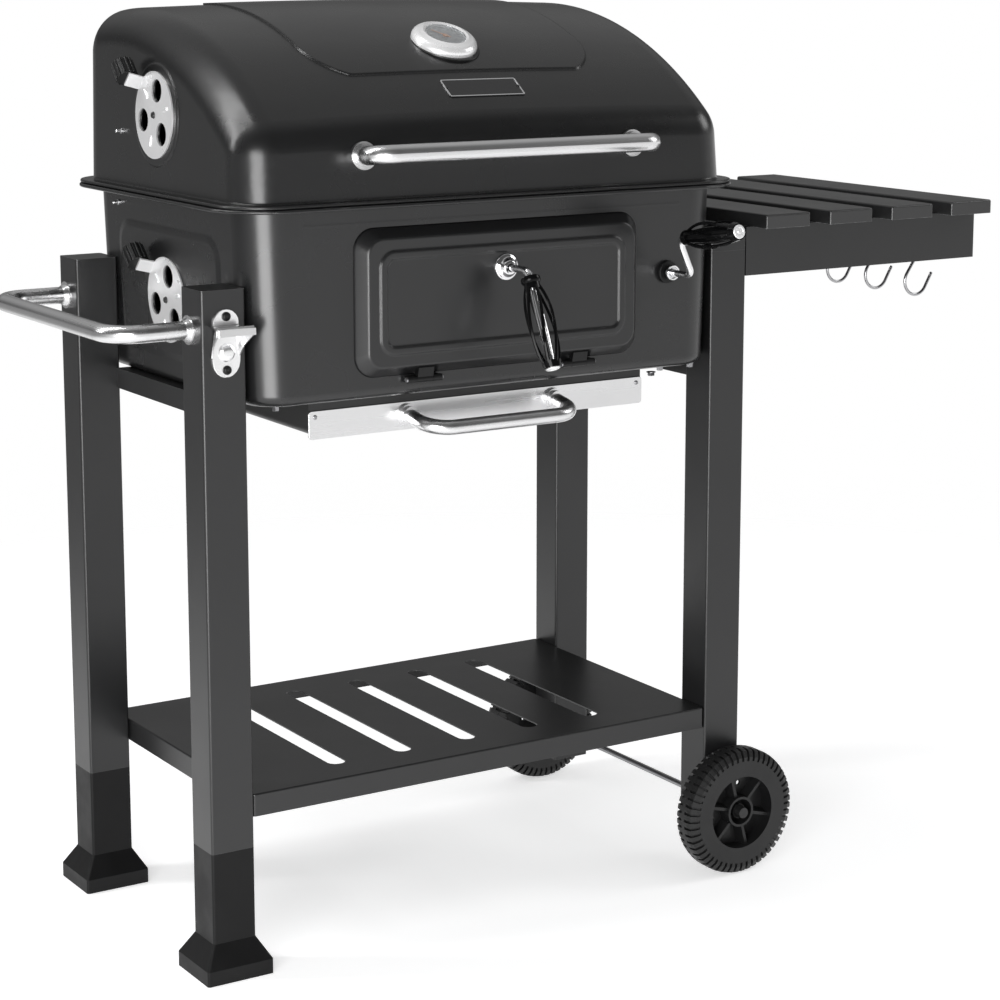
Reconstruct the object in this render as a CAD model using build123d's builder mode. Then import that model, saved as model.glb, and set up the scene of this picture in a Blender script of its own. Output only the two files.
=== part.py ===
"""Charcoal grill trolley: a lidded firebox on a four-leg cart with a slatted side table.

Axes: X runs from the push handle (left) to the side table (right), Y from the door (front) to the
lid hinges (rear), Z up from the floor.  The origin lies under the centre of the overall box.
Each piece is built about the cart's own centre and is moved by `cart_centre` when it is written.
"""
from build123d import *
from math import asin, atan2, cos, degrees, pi, radians, sin, sqrt, tan
import os

os.makedirs("parts", exist_ok=True)

# ------------------------------------------------------------------ cart
leg_width = 52             # leg tube along X
leg_depth = 50             # leg tube along Y
leg_wall = 1.5
leg_corner = 3
leg_gap = 0.742            # between the legs' tops and the firebox's ends
leg_setback = 17           # legs' outer faces behind the firebox's front
leg_top = 772
right_leg_bottom = 46
foot_joint = 146           # where the leg tube meets the plastic foot
foot_flare_top = 42
foot_flare_bottom = 17
foot_spread = 14.5         # how far the foot's base stands out from the leg
foot_plug_length = 40
foot_wall = 3
shelf_top = 206
shelf_height = 26
shelf_wall = 1.5
shelf_setback = 2
shelf_corner = 4
shelf_gap = 0.3            # between the shelf and the legs
slot_count = 5
slot_pitch = 88
slot_width = 22
slot_length = 290
rail_top = 640             # underside of the firebox rests here
rail_height = 24
rail_wall = 2
rail_flange = 34
rail_inset = 4             # the rail's face lies this far inside the legs' inner faces

# ------------------------------------------------------------------ wheels
wheel_diameter = 158
wheel_width = 34
wheel_leg_gap = 11
tread_depth = 3.5
tread_lugs = 52
tread_gap_share = 0.36     # of the pitch from lug to lug
tread_run_share = 0.42     # of the width, in from either side
side_lug_length = 14       # the lugs run this far down the sidewall
side_lug_depth = 1.8
shoulder = 9
rim_diameter = 97
rim_wall = 3
web_share = 0.3            # the web's place and the hub's ends, as shares of the width
web_thickness = 3
spoke_width = 11
spoke_share = 0.5
spoke_taper = 12
spoke_turn = 45
drain_hole = 6
hub_diameter = 38
hub_share = 0.8
hub_wall = 5
hub_hole_gap = 0.08        # radial clearance on the axle
wheel_spokes = 6
axle_diameter = 8
axle_nut_diameter = 17
axle_nut_length = 9
axle_end_gap = 0.5

# ------------------------------------------------------------------ side table
slat_count = 4
slat_width = 67
slat_pitch = 98
slat_length = 444
slat_thickness = 17
slat_wall = 1.5
slat_edge = 2.5
table_top = 816
table_leg_gap = 8          # first slat stands this far right of the legs
table_rail_height = 59
table_rail_wall = 2
table_rail_flange = 16
table_end_inset = 2        # end rail inside the last slat's edge
hook_bar_diameter = 8
hook_bar_inset = 19        # in from the end rail's inner face
hook_bar_drop = 46         # bar axis below the top of the rails
hook_count = 3
hook_pitch = 79
hook_middle_y = -35
hook_wire = 4
hook_bottom_radius = 13
hook_drop = 56             # between the two bend centres
hook_top_end = 200         # where the upper bend starts, from +X
hook_tip = 7
hook_gap = 0.4             # between hook wire and bar

# ------------------------------------------------------------------ push handle and opener
handle_tube = 20
push_height = 728
push_reach = 90            # tube axis out from the legs
push_bend = 34
rosette_diameter = 32
rosette_length = 9
opener_width = 35
opener_height = 74
opener_wall = 2.5
opener_centre_z = 714.5
opener_shift = 2
opener_reach = 17
opener_claw = 12           # the hood stands out past the plate
opener_hood_rise = 12      # hood's top above the plate's middle
opener_lip = 8
opener_notch = 5

# ------------------------------------------------------------------ firebox
firebox_width = 626        # at the rim
firebox_depth = 419
firebox_top = 857          # upper face of the rim flange
firebox_taper = 7          # each end leans in by this much at the bottom
sheet = 1.5                # sheet thickness of firebox and lid
firebox_corner = 45
firebox_bottom_edge = 12
flange_overhang = 27.5
flange_thickness = 4
ash_hole_width = 300
ash_hole_depth = 200
ash_hole_corner = 20
end_panel_width = 268      # pressed panel round the air vent
end_panel_top = 821
end_panel_bottom = 668
end_panel_corner = 30
end_panel_border = 9
end_panel_rise = 1.6
grate_ledge_z = 836        # underside of the cooking grates
grate_rod = 6
grate_gap = 2
grate_bars = 13
ledge_width = 12
ledge_end_gap = 63

# ------------------------------------------------------------------ front door
door_margin = 125          # firebox's ends to the door's edges
door_height = 166
door_centre_z = 747
door_rise = 14
door_bevel = 12
door_corner = 25
door_sheet = 1.4
door_gap = 0.3
bead_inset = 30            # bead's centre line in from the door's edge
bead_width = 10
bead_rise = 2
bead_corner = 14
opening_margin = 21        # firebox opening inside the door's edge
opening_corner = 12
hinge_spread = 103         # door hinges either side of the middle
hinge_length = 44
hinge_barrel = 8
hinge_pin = 4
hinge_gap = 0.08
hinge_drop = 5             # pin axis below the door's lower edge
hinge_stand = 6.5          # pin axis in front of the firebox wall
hinge_leaf = 1.6

# ------------------------------------------------------------------ turning handles
rod_diameter = 8
rod_gap = 0.08
latch_z = 778
latch_reach = 46           # straight part in front of the door
latch_lean = 26            # grip leans out from the vertical
grip_length = 92
grip_radius = 17
grip_wire = 3.6
grip_wires = 6
grip_collar_radius = 9
grip_collar_length = 8
grip_start = 14
grip_end_taper = 12
door_rosette_diameter = 30
door_rosette_length = 8
latch_cam_length = 26
latch_cam_width = 12
latch_cam_thickness = 3
latch_cam_gap = 0.6
rod_bend = 12
crank_inset = 81           # in from the firebox's end
crank_z = 755.6
crank_reach = 52           # shaft in front of the firebox wall
crank_arm_x = -20
crank_arm_z = 45
crank_tilt = 9.3           # grip rises this much towards its end
bushing_diameter = 24
bushing_length = 12

# ------------------------------------------------------------------ charcoal lift
gear_module = 2
pinion_teeth = 12
gear_pressure_angle = 20
gear_backlash = 0.5
pinion_width = 10
pinion_wall_gap = 5        # between the front wall and the pinion
rack_width = 9             # along Y
rack_back = 9              # bar behind the teeth
lift_travel = 60
tray_rod_gap = 10          # tray's ends to the guide rods
tray_front_gap = 56.5      # firebox's front to the tray
tray_rear_gap = 32.5
tray_height = 45
tray_bottom = 668
tray_wall = 2
tray_corner = 22
tray_floor_edge = 8
tray_slots = 9
tray_slot_pitch = 54
tray_slot_width = 8
tray_slot_length = 240
coal_grate_rod = 5
coal_grate_bars = 11
coal_grate_gap = 4
guide_rod_diameter = 8
guide_wall_gap = 7         # guide lugs to the firebox's ends
guide_rod_y = 110
guide_rod_top = 822
guide_gap = 0.5
guide_lug_wall = 4

# ------------------------------------------------------------------ ash drawer
drawer_width = 430
drawer_depth = 350
drawer_height = 26
drawer_top = 621
drawer_wall = 1.2
drawer_lip = 7
drawer_edge = 7
drawer_front_width = 450
drawer_front_height = 32
drawer_front_wall = 1.5
drawer_front_gap = 0.4     # in front of the housing's face
drawer_front_top = 626
drawer_setback = 40        # housing face behind the firebox wall
runner_wall = 1.5
runner_flange = 14
runner_gap = 0.5
drawer_handle_tube = 17
drawer_handle_spread = 197
drawer_handle_reach = 54
drawer_handle_sink = 8     # grip below its rosettes
drawer_handle_drop = 16    # tube axis below the plate's top edge
drawer_bend = 30

# ------------------------------------------------------------------ lid
lid_overhang = 8           # lid's walls outside the firebox's
lid_gap = 0.4              # lid rim above the firebox rim
lid_rim_overhang = 15.5
lid_rim_thickness = 4
lid_height = 1067          # at the crown, under the raised panel
lid_end_taper = 5          # ends lean in by this much at the top
lid_front_lean = 7
lid_arc_radius = 484
lid_arc_y = 117.5          # where the crown is highest
lid_crown_radius = 8600    # gentle crown from end to end
lid_crease_radius = 50
lid_rear_radius = 52
lid_end_radius = 44
lid_foot_radius = 5
panel_half_rear = 194
panel_half_front = 150
panel_front_y = -141
panel_rear_y = 150
panel_shoulder_y = -70
panel_rise = 2.2
panel_bow = 9              # how far its shoulders bow out
panel_corner = 12
lid_handle_tube = 21
lid_handle_spread = 354
lid_handle_z = 909
lid_handle_reach = 48
lid_handle_overrun = 14
lid_handle_bend = 22
lid_hinge_spread = 200
lid_hinge_y_gap = 11.5     # pin axis behind the lid rim's edge
lid_hinge_rise = 5         # pin axis above the firebox rim
lid_knuckle_radius = 6
lid_pin_diameter = 5
lid_hinge_width = 26
lid_strap_wall = 3
lid_strap_top = 906
lid_ear_wall = 3
ear_height = 24
thermo_y = -88
thermo_diameter = 78
thermo_height = 13
thermo_glass = 48
thermo_seat = 3.5          # the case reaches this far under the lid's surface
lens_thickness = 1.5
lens_drop = 1.3            # lens below the bezel's top
thermo_stem = 45
thermo_stem_diameter = 8
thermo_recess = 6          # dial face below the bezel's top
needle_angle = 130
dial_thickness = 0.8
lid_emboss = 116           # round pressing behind the lid's air vent
lid_emboss_rise = 1.5

# ------------------------------------------------------------------ air vents
vent_diameter = 98
vent_thickness = 1.8
vent_hole = 26
vent_hole_circle = 28.5
vent_holes = 3
vent_gap = 0.4             # disc off the wall
vent_rib_length = 14
vent_rib_width = 5
vent_rib_rise = 1.4
vent_tab_width = 20
vent_tab_end = 66          # middle of the knob, from the disc's centre
vent_tab_past = 6
vent_hole_angle = 106      # first hole, above the +Y direction
vent_tab_angle = 46        # of the lever, midway between two holes
vent_knob_diameter = 25
vent_knob_length = 22
vent_knob_stand = 17       # knob's axis off the wall
vent_knob_ribs = 12
vent_rivet = 8
vent_turn_gap = 0.08
firebox_vent_y = 4
firebox_vent_z = 737
lid_vent_y = 5
lid_vent_z = 946

# ------------------------------------------------------------------ fasteners
screw_head = 8
screw_height = 2.5

# ------------------------------------------------------------------ worked out from the above
firebox_bottom = rail_top
fire_hw = firebox_width / 2
fire_hd = firebox_depth / 2
fire_hw_low = fire_hw - firebox_taper
end_lean = firebox_taper / (firebox_top - firebox_bottom)
wall_y = -fire_hd                       # outer face of the firebox's front wall
inner_x = fire_hw_low + (leg_top - firebox_bottom) * end_lean + leg_gap     # legs' inner faces
half_w = inner_x + leg_width
half_d = fire_hd - leg_setback
leg_x = half_w - leg_width / 2
leg_y = half_d - leg_depth / 2
inner_y = half_d - leg_depth
door_width = firebox_width - 2 * door_margin
ledge_length = firebox_width - 2 * ledge_end_gap
crank_x = fire_hw - crank_inset
guide_rod_x = (fire_hw_low - sheet - guide_wall_gap - guide_lug_wall - guide_gap
               - guide_rod_diameter / 2)
tray_width = 2 * (guide_rod_x - guide_rod_diameter / 2 - tray_rod_gap)
tray_depth = firebox_depth - tray_front_gap - tray_rear_gap
tray_shift_y = (tray_front_gap - tray_rear_gap) / 2
lid_width = firebox_width + 2 * lid_overhang
lid_depth = firebox_depth + 2 * lid_overhang
lid_hw = lid_width / 2
lid_hd = lid_depth / 2
lid_bottom = firebox_top + lid_gap
wheel_z = wheel_diameter / 2
wheel_y = half_d + wheel_leg_gap        # inner face of the wheel
slat_x = [half_w + table_leg_gap + slat_width / 2 + i * slat_pitch for i in range(slat_count)]
table_end = slat_x[-1] + slat_width / 2
rail_top_z = table_top - slat_thickness
table_rail_end = table_end - table_end_inset
push_end = -half_w - push_reach - handle_tube / 2
grip_y = wall_y - crank_reach
grip_end_radius = grip_collar_radius + 2 - grip_collar_length * tan(radians(grip_end_taper))
crank_front = (grip_y - (grip_start + grip_length + grip_collar_length) * cos(radians(crank_tilt))
               - grip_end_radius * sin(radians(crank_tilt)))
lid_pin_y = lid_hd + lid_rim_overhang + lid_hinge_y_gap
lid_pin_z = firebox_top + lid_hinge_rise
rear_extent = lid_pin_y + lid_knuckle_radius + lid_ear_wall / 2
cart_centre = Vector(-(push_end + table_end) / 2, -(crank_front + rear_extent) / 2, 0)


def save(part, name):
    """Label a finished piece, move it into the object's frame and write its STEP file."""
    solid = Part(part.moved(Location(cart_centre)).wrapped)
    solid.label = name
    export_step(solid, f"parts/{name}.step")


def tube_path(points, radius):
    """A polyline in space with every corner rounded to one radius."""
    with BuildLine() as line:
        FilletPolyline(*points, radius=radius)
    return line.line


def rod(points, radius, diameter):
    """A round bar along a rounded polyline."""
    path = tube_path(points, radius) if len(points) > 2 else Edge.make_line(*points)
    with BuildPart(mode=Mode.PRIVATE) as bar:
        with BuildSketch(Plane(origin=path @ 0, z_dir=path % 0)):
            Circle(diameter / 2)
        sweep(path=path)
    return bar.part


# ================================================================== legs and feet
def make_leg(x, y, bottom, name):
    with BuildPart() as leg:
        with BuildSketch(Plane.XY.offset(bottom)):
            with Locations((x, y)):
                RectangleRounded(leg_width, leg_depth, leg_corner)
                RectangleRounded(leg_width - 2 * leg_wall, leg_depth - 2 * leg_wall, leg_corner - leg_wall,
                                 mode=Mode.SUBTRACT)
        extrude(amount=leg_top - leg_wall - bottom)
        with BuildSketch(Plane.XY.offset(leg_top - leg_wall)):
            with Locations((x, y)):
                RectangleRounded(leg_width, leg_depth, leg_corner)
        extrude(amount=leg_wall)
        if bottom < wheel_z:
            with BuildSketch(Plane.XZ.offset(-y - leg_depth)):
                with Locations((x, wheel_z)):
                    Circle(axle_diameter / 2)
            extrude(amount=2 * leg_depth, mode=Mode.SUBTRACT)
    save(leg.part, name)


def make_foot(x, y, name):
    with BuildPart() as foot:
        with BuildSketch():
            with Locations((x, y)):
                RectangleRounded(leg_width + 2 * foot_spread, leg_depth + 2 * foot_spread, leg_corner)
        extrude(amount=foot_flare_bottom)
        with BuildSketch(Plane.XY.offset(foot_flare_bottom)):
            with Locations((x, y)):
                RectangleRounded(leg_width + 2 * foot_spread, leg_depth + 2 * foot_spread, leg_corner)
        with BuildSketch(Plane.XY.offset(foot_flare_top)):
            with Locations((x, y)):
                RectangleRounded(leg_width, leg_depth, leg_corner)
        loft()
        with BuildSketch(Plane.XY.offset(foot_flare_top)):
            with Locations((x, y)):
                RectangleRounded(leg_width, leg_depth, leg_corner)
        extrude(amount=foot_joint - foot_flare_top)
        with BuildSketch(Plane.XY.offset(foot_joint)):
            with Locations((x, y)):
                RectangleRounded(leg_width - 2 * leg_wall, leg_depth - 2 * leg_wall,
                                 leg_corner - leg_wall)
        extrude(amount=foot_plug_length)
        with BuildSketch(Plane.XY.offset(foot_joint + foot_plug_length)):
            with Locations((x, y)):
                Rectangle(leg_width - 2 * leg_wall - 2 * foot_wall,
                          leg_depth - 2 * leg_wall - 2 * foot_wall)
        extrude(amount=-(foot_joint + foot_plug_length - foot_flare_bottom), mode=Mode.SUBTRACT)
    save(foot.part, name)


for side, sx in (("left", -1), ("right", 1)):
    for end, sy in (("front", -1), ("rear", 1)):
        bottom = foot_joint if sx < 0 else right_leg_bottom
        make_leg(sx * leg_x, sy * leg_y, bottom, f"leg_{end}_{side}")
make_foot(-leg_x, -leg_y, "foot_front_left")
make_foot(-leg_x, leg_y, "foot_rear_left")

# ================================================================== bottom shelf
shelf_x = inner_x - shelf_gap
shelf_y = half_d - shelf_setback
with BuildPart() as shelf:
    with BuildSketch(Plane.XY.offset(shelf_top - shelf_height)):
        RectangleRounded(2 * shelf_x, 2 * shelf_y, shelf_corner)
    extrude(amount=shelf_height)
    fillet(shelf.edges().group_by(Axis.Z)[-1], 2)
    with BuildSketch(Plane.XY.offset(shelf_top - shelf_height)):
        RectangleRounded(2 * (shelf_x - shelf_wall), 2 * (shelf_y - shelf_wall), shelf_corner - shelf_wall)
    extrude(amount=shelf_height - shelf_wall, mode=Mode.SUBTRACT)
    with BuildSketch(Plane.XY.offset(shelf_top - shelf_wall)):
        with GridLocations(slot_pitch, 0, slot_count, 1):
            SlotOverall(slot_length, slot_width, rotation=90)
    extrude(amount=shelf_wall, mode=Mode.SUBTRACT)
save(shelf.part, "bottom_shelf")

# ================================================================== rails that carry the firebox
for side, sx in (("left", -1), ("right", 1)):
    face_x = inner_x + rail_inset
    with BuildPart() as rail:
        with BuildSketch(Plane.XZ.offset(-inner_y + shelf_gap)):
            with BuildLine():
                Polyline((sx * face_x, rail_top - rail_height), (sx * face_x, rail_top),
                         (sx * (face_x - rail_flange), rail_top),
                         (sx * (face_x - rail_flange), rail_top - rail_wall),
                         (sx * (face_x - rail_wall), rail_top - rail_wall),
                         (sx * (face_x - rail_wall), rail_top - rail_height), close=True)
            make_face()
        extrude(amount=2 * (inner_y - shelf_gap))
    save(rail.part, f"cross_rail_{side}")

# ================================================================== axle and wheels
hub_end = wheel_y + wheel_width * hub_share
axle_half = hub_end + axle_end_gap + axle_nut_length - 1
with BuildPart() as axle:
    with BuildSketch(Plane.XZ.offset(axle_half)):
        with Locations((leg_x, wheel_z)):
            Circle(axle_diameter / 2)
    extrude(amount=-2 * axle_half)
save(axle.part, "axle")


def make_wheel(sy, name):
    """A tyre with lugs that run down its sidewalls, on a spoked rim; both are turned about the axle."""
    outer = wheel_diameter / 2
    inner = rim_diameter / 2
    well = inner - rim_wall
    bore = axle_diameter / 2 + hub_hole_gap
    hub = hub_diameter / 2
    web = wheel_width * web_share
    spoke_in = hub - rim_wall * 0.7
    face = Plane(origin=(leg_x, sy * wheel_y, wheel_z), x_dir=(1, 0, 0), z_dir=(0, sy, 0))
    section = Plane(origin=(leg_x, sy * wheel_y, wheel_z), x_dir=(1, 0, 0), z_dir=(0, 0, 1))
    spin = Axis((leg_x, 0, wheel_z), (0, 1, 0))
    step = 360 / tread_lugs
    run = wheel_width * tread_run_share
    gap = pi * wheel_diameter / tread_lugs * tread_gap_share
    side = [(inner, 0), (outer - shoulder, 0), (outer - shoulder / 6, shoulder * 0.4), (outer, shoulder)]
    cut = [(outer - side_lug_length, -1), (outer + 1, -1), (outer + 1, run), (outer - tread_depth, run),
           (outer - tread_depth, shoulder * 0.7), (outer - side_lug_length, side_lug_depth)]
    with BuildPart() as tyre:
        with BuildSketch(section):
            with BuildLine():
                Polyline(*[(r, sy * a) for r, a in side],
                         *[(r, sy * (wheel_width - a)) for r, a in reversed(side)], close=True)
            make_face()
        revolve(axis=spin)
        with BuildPart(mode=Mode.PRIVATE) as notch:
            with BuildSketch(section):
                for near in (True, False):
                    with BuildLine():
                        Polyline(*[(r, sy * (a if near else wheel_width - a)) for r, a in cut], close=True)
                    make_face()
            extrude(amount=gap / 2, both=True)
        add([notch.part.rotate(spin, i * step) for i in range(tread_lugs)], mode=Mode.SUBTRACT)
    save(tyre.part, f"{name}_tyre")
    with BuildPart() as rim:
        with BuildSketch(face):
            Circle(inner)
            Circle(well, mode=Mode.SUBTRACT)
        extrude(amount=wheel_width)
        with BuildSketch(face.offset(web)):
            Circle(well)
        extrude(amount=web_thickness)
        with BuildSketch(face.offset(web)):
            Circle(hub)
            Circle(hub - rim_wall, mode=Mode.SUBTRACT)
        extrude(amount=wheel_width * (1 - web_share) - rim_wall)
        with BuildSketch(face):
            Circle(bore + hub_wall)
        extrude(amount=wheel_width * hub_share)
        with BuildSketch(face.offset(web)):
            with PolarLocations((spoke_in + inner) / 2, wheel_spokes, start_angle=spoke_turn):
                SlotOverall(inner - spoke_in + rim_wall, spoke_width)
        extrude(amount=wheel_width * spoke_share, taper=spoke_taper)
        with BuildSketch(face):
            Circle(inner)
        extrude(amount=wheel_width, mode=Mode.INTERSECT)
        with BuildSketch(face.offset(web)):
            with PolarLocations((hub + well) / 2, wheel_spokes // 2,
                                start_angle=spoke_turn + 180 / wheel_spokes):
                Circle(drain_hole / 2)
        extrude(amount=web_thickness, mode=Mode.SUBTRACT)
        with BuildSketch(face.offset(-1)):
            Circle(bore)
        extrude(amount=wheel_width + 2, mode=Mode.SUBTRACT)
    save(rim.part, f"{name}_rim")


make_wheel(-1, "wheel_front")
make_wheel(1, "wheel_rear")

# ================================================================== side table
table_y = half_d
end_wall_x = table_rail_end


def table_channel(sy, name):
    """A folded channel along X: web outside, flanges turned in, and an end tab on the leg."""
    with BuildPart() as channel:
        with BuildSketch(Plane.YZ.offset(half_w)):
            with Locations((sy * table_y, rail_top_z - table_rail_height)):
                Rectangle(table_rail_wall, table_rail_height,
                          align=(Align.MAX if sy > 0 else Align.MIN, Align.MIN))
                Rectangle(table_rail_flange, table_rail_wall,
                          align=(Align.MAX if sy > 0 else Align.MIN, Align.MIN))
            with Locations((sy * table_y, rail_top_z)):
                Rectangle(table_rail_flange, table_rail_wall,
                          align=(Align.MAX if sy > 0 else Align.MIN, Align.MAX))
        extrude(amount=end_wall_x - table_rail_wall - half_w)
        with BuildSketch(Plane.YZ.offset(half_w)):
            with Locations((sy * table_y, rail_top_z - table_rail_height)):
                Rectangle(leg_depth - 8, leg_top - rail_top_z + table_rail_height - 3,
                          align=(Align.MAX if sy > 0 else Align.MIN, Align.MIN))
        extrude(amount=table_rail_wall)
    save(channel.part, name)


table_channel(-1, "table_rail_front")
table_channel(1, "table_rail_rear")

bar_x = end_wall_x - table_rail_wall - hook_bar_inset
bar_z = rail_top_z - hook_bar_drop
with BuildPart() as end_rail:
    with BuildSketch(Plane.XZ.offset(-table_y)):
        with Locations((end_wall_x, rail_top_z - table_rail_height)):
            Rectangle(table_rail_wall, table_rail_height, align=(Align.MAX, Align.MIN))
    extrude(amount=2 * table_y)
    with BuildSketch(Plane.XZ.offset(-(table_y - table_rail_flange))):
        with Locations((end_wall_x, rail_top_z)):
            Rectangle(table_rail_flange / 2, table_rail_wall, align=(Align.MAX, Align.MAX))
    extrude(amount=2 * (table_y - table_rail_flange))
save(end_rail.part, "table_rail_end")

with BuildPart() as hook_bar:
    with BuildSketch(Plane.XZ.offset(table_y - table_rail_wall)):
        with Locations((bar_x, bar_z)):
            Circle(hook_bar_diameter / 2)
    extrude(amount=-2 * (table_y - table_rail_wall))
save(hook_bar.part, "hook_bar")

for i, x in enumerate(slat_x):
    with BuildPart() as slat:
        with BuildSketch(Plane.XY.offset(rail_top_z)):
            with Locations((x, 0)):
                Rectangle(slat_width, slat_length)
        extrude(amount=slat_thickness)
        fillet(slat.edges().group_by(Axis.Z)[-1] + slat.edges().filter_by(Axis.Z), slat_edge)
        with BuildSketch(Plane.XY.offset(rail_top_z)):
            with Locations((x, 0)):
                Rectangle(slat_width - 2 * slat_wall, slat_length - 2 * slat_wall)
        extrude(amount=slat_thickness - slat_wall, mode=Mode.SUBTRACT)
    save(slat.part, f"table_slat_{i + 1}")

hook_r = hook_bar_diameter / 2 + hook_gap + hook_wire / 2
hook_lean = asin((hook_r + hook_bottom_radius) / hook_drop)     # the stem touches both bends
for i in range(hook_count):
    hy = hook_middle_y + (i - (hook_count - 1) / 2) * hook_pitch
    with BuildPart() as hook:
        with BuildLine(Plane.XZ.offset(-hy)) as wire:
            top = CenterArc((bar_x, bar_z), hook_r, hook_top_end, -hook_top_end - degrees(hook_lean))
            low = CenterArc((bar_x, bar_z - hook_drop), hook_bottom_radius, 180 - degrees(hook_lean), 180)
            Line(top @ 1, low @ 0)
            Line(low @ 1, low @ 1 + (low % 1) * hook_tip)
        with BuildSketch(Plane(origin=wire.line @ 0, z_dir=wire.line % 0)):
            Circle(hook_wire / 2)
        sweep(path=wire.line)
    save(hook.part, f"hook_{i + 1}")

# ================================================================== push handle and bottle opener
with BuildPart() as push:
    add(rod([(-half_w - 1, -leg_y, push_height), (-half_w - push_reach, -leg_y, push_height),
             (-half_w - push_reach, leg_y, push_height), (-half_w - 1, leg_y, push_height)],
            push_bend, handle_tube))
    for sy in (-1, 1):
        with BuildSketch(Plane.YZ.offset(-half_w)):
            with Locations((sy * leg_y, push_height)):
                Circle(rosette_diameter / 2)
        extrude(amount=-rosette_length * 0.5)
        with BuildSketch(Plane.YZ.offset(-half_w - rosette_length * 0.5)):
            with Locations((sy * leg_y, push_height)):
                Circle(rosette_diameter / 2 - 3)
        extrude(amount=-rosette_length * 0.5, taper=20)
save(push.part, "push_handle")

opener_x = -leg_x + opener_shift
face_y = -half_d
hood_top = opener_centre_z + opener_hood_rise
hood_end = opener_x + opener_width / 2 + opener_claw
plate_face = face_y - opener_wall
with BuildPart() as opener:
    with BuildSketch(Plane.XZ.offset(-face_y)):
        with Locations((opener_x, opener_centre_z)):
            SlotOverall(opener_height, opener_width, rotation=90)
        with Locations((opener_x - opener_width / 2, hood_top)):
            Circle(opener_notch, mode=Mode.SUBTRACT)
    extrude(amount=opener_wall)
    with BuildSketch(Plane.XY.offset(hood_top - opener_wall)):
        with BuildLine():
            Polyline((opener_x - opener_width / 3, plate_face), (opener_x, face_y - opener_reach),
                     (hood_end, face_y - opener_reach), (hood_end, face_y - opener_reach * 0.6),
                     (opener_x + opener_width / 2 - 1, plate_face), close=True)
        make_face()
    extrude(amount=opener_wall)
    with BuildSketch(Plane.XZ.offset(-face_y + opener_reach)):
        with BuildLine():
            Polyline((opener_x, hood_top), (hood_end, hood_top), (hood_end, hood_top - opener_lip * 0.6),
                     (opener_x + opener_width / 2, hood_top - opener_lip), (opener_x, hood_top - opener_lip),
                     close=True)
        make_face()
    extrude(amount=-opener_wall)
    with BuildSketch(Plane.XZ.offset(-plate_face)):
        with Locations((opener_x - opener_width / 12, hood_top - opener_height / 4)):
            Ellipse(opener_width / 5, opener_height / 7)
    with BuildSketch(Plane.XZ.offset(-face_y + opener_reach - opener_wall)):
        with Locations((opener_x + opener_width / 6, hood_top - opener_lip / 2)):
            Ellipse(opener_width / 4, opener_lip / 3)
    loft()
save(opener.part, "bottle_opener")

# ================================================================== firebox
def tub(offset, z_low, z_high):
    """The firebox's tapering form, `offset` inside its outer surface, with a rounded floor edge."""
    low = fire_hw_low - offset + (z_low - firebox_bottom) * end_lean
    high = fire_hw - offset + (z_high - firebox_top) * end_lean
    corner = firebox_corner - offset
    depth = firebox_depth - 2 * offset
    with BuildPart(mode=Mode.PRIVATE) as body:
        with BuildSketch(Plane.XY.offset(z_low)):
            RectangleRounded(2 * low, depth, corner)
        with BuildSketch(Plane.XY.offset(z_high)):
            RectangleRounded(2 * high, depth, corner)
        loft()
        fillet(body.edges().group_by(Axis.Z)[0], firebox_bottom_edge - offset)
    return body.part


def rim(hw, hd, corner, z, thickness):
    """A flat rim with a rolled edge."""
    with BuildPart(mode=Mode.PRIVATE) as plate:
        with BuildSketch(Plane.XY.offset(z)):
            RectangleRounded(2 * hw, 2 * hd, corner)
        extrude(amount=thickness)
        fillet(plate.edges().filter_by(GeomType.PLANE, reverse=True).group_by(Axis.Z)[0]
               + plate.edges().group_by(Axis.Z)[-1], thickness / 2 - 0.2)
    return plate.part


def vent_holes_at(angle):
    """Sketches the ring of air holes, turned by `angle`."""
    with PolarLocations(vent_hole_circle, vent_holes, start_angle=angle):
        Circle(vent_hole / 2)


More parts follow.
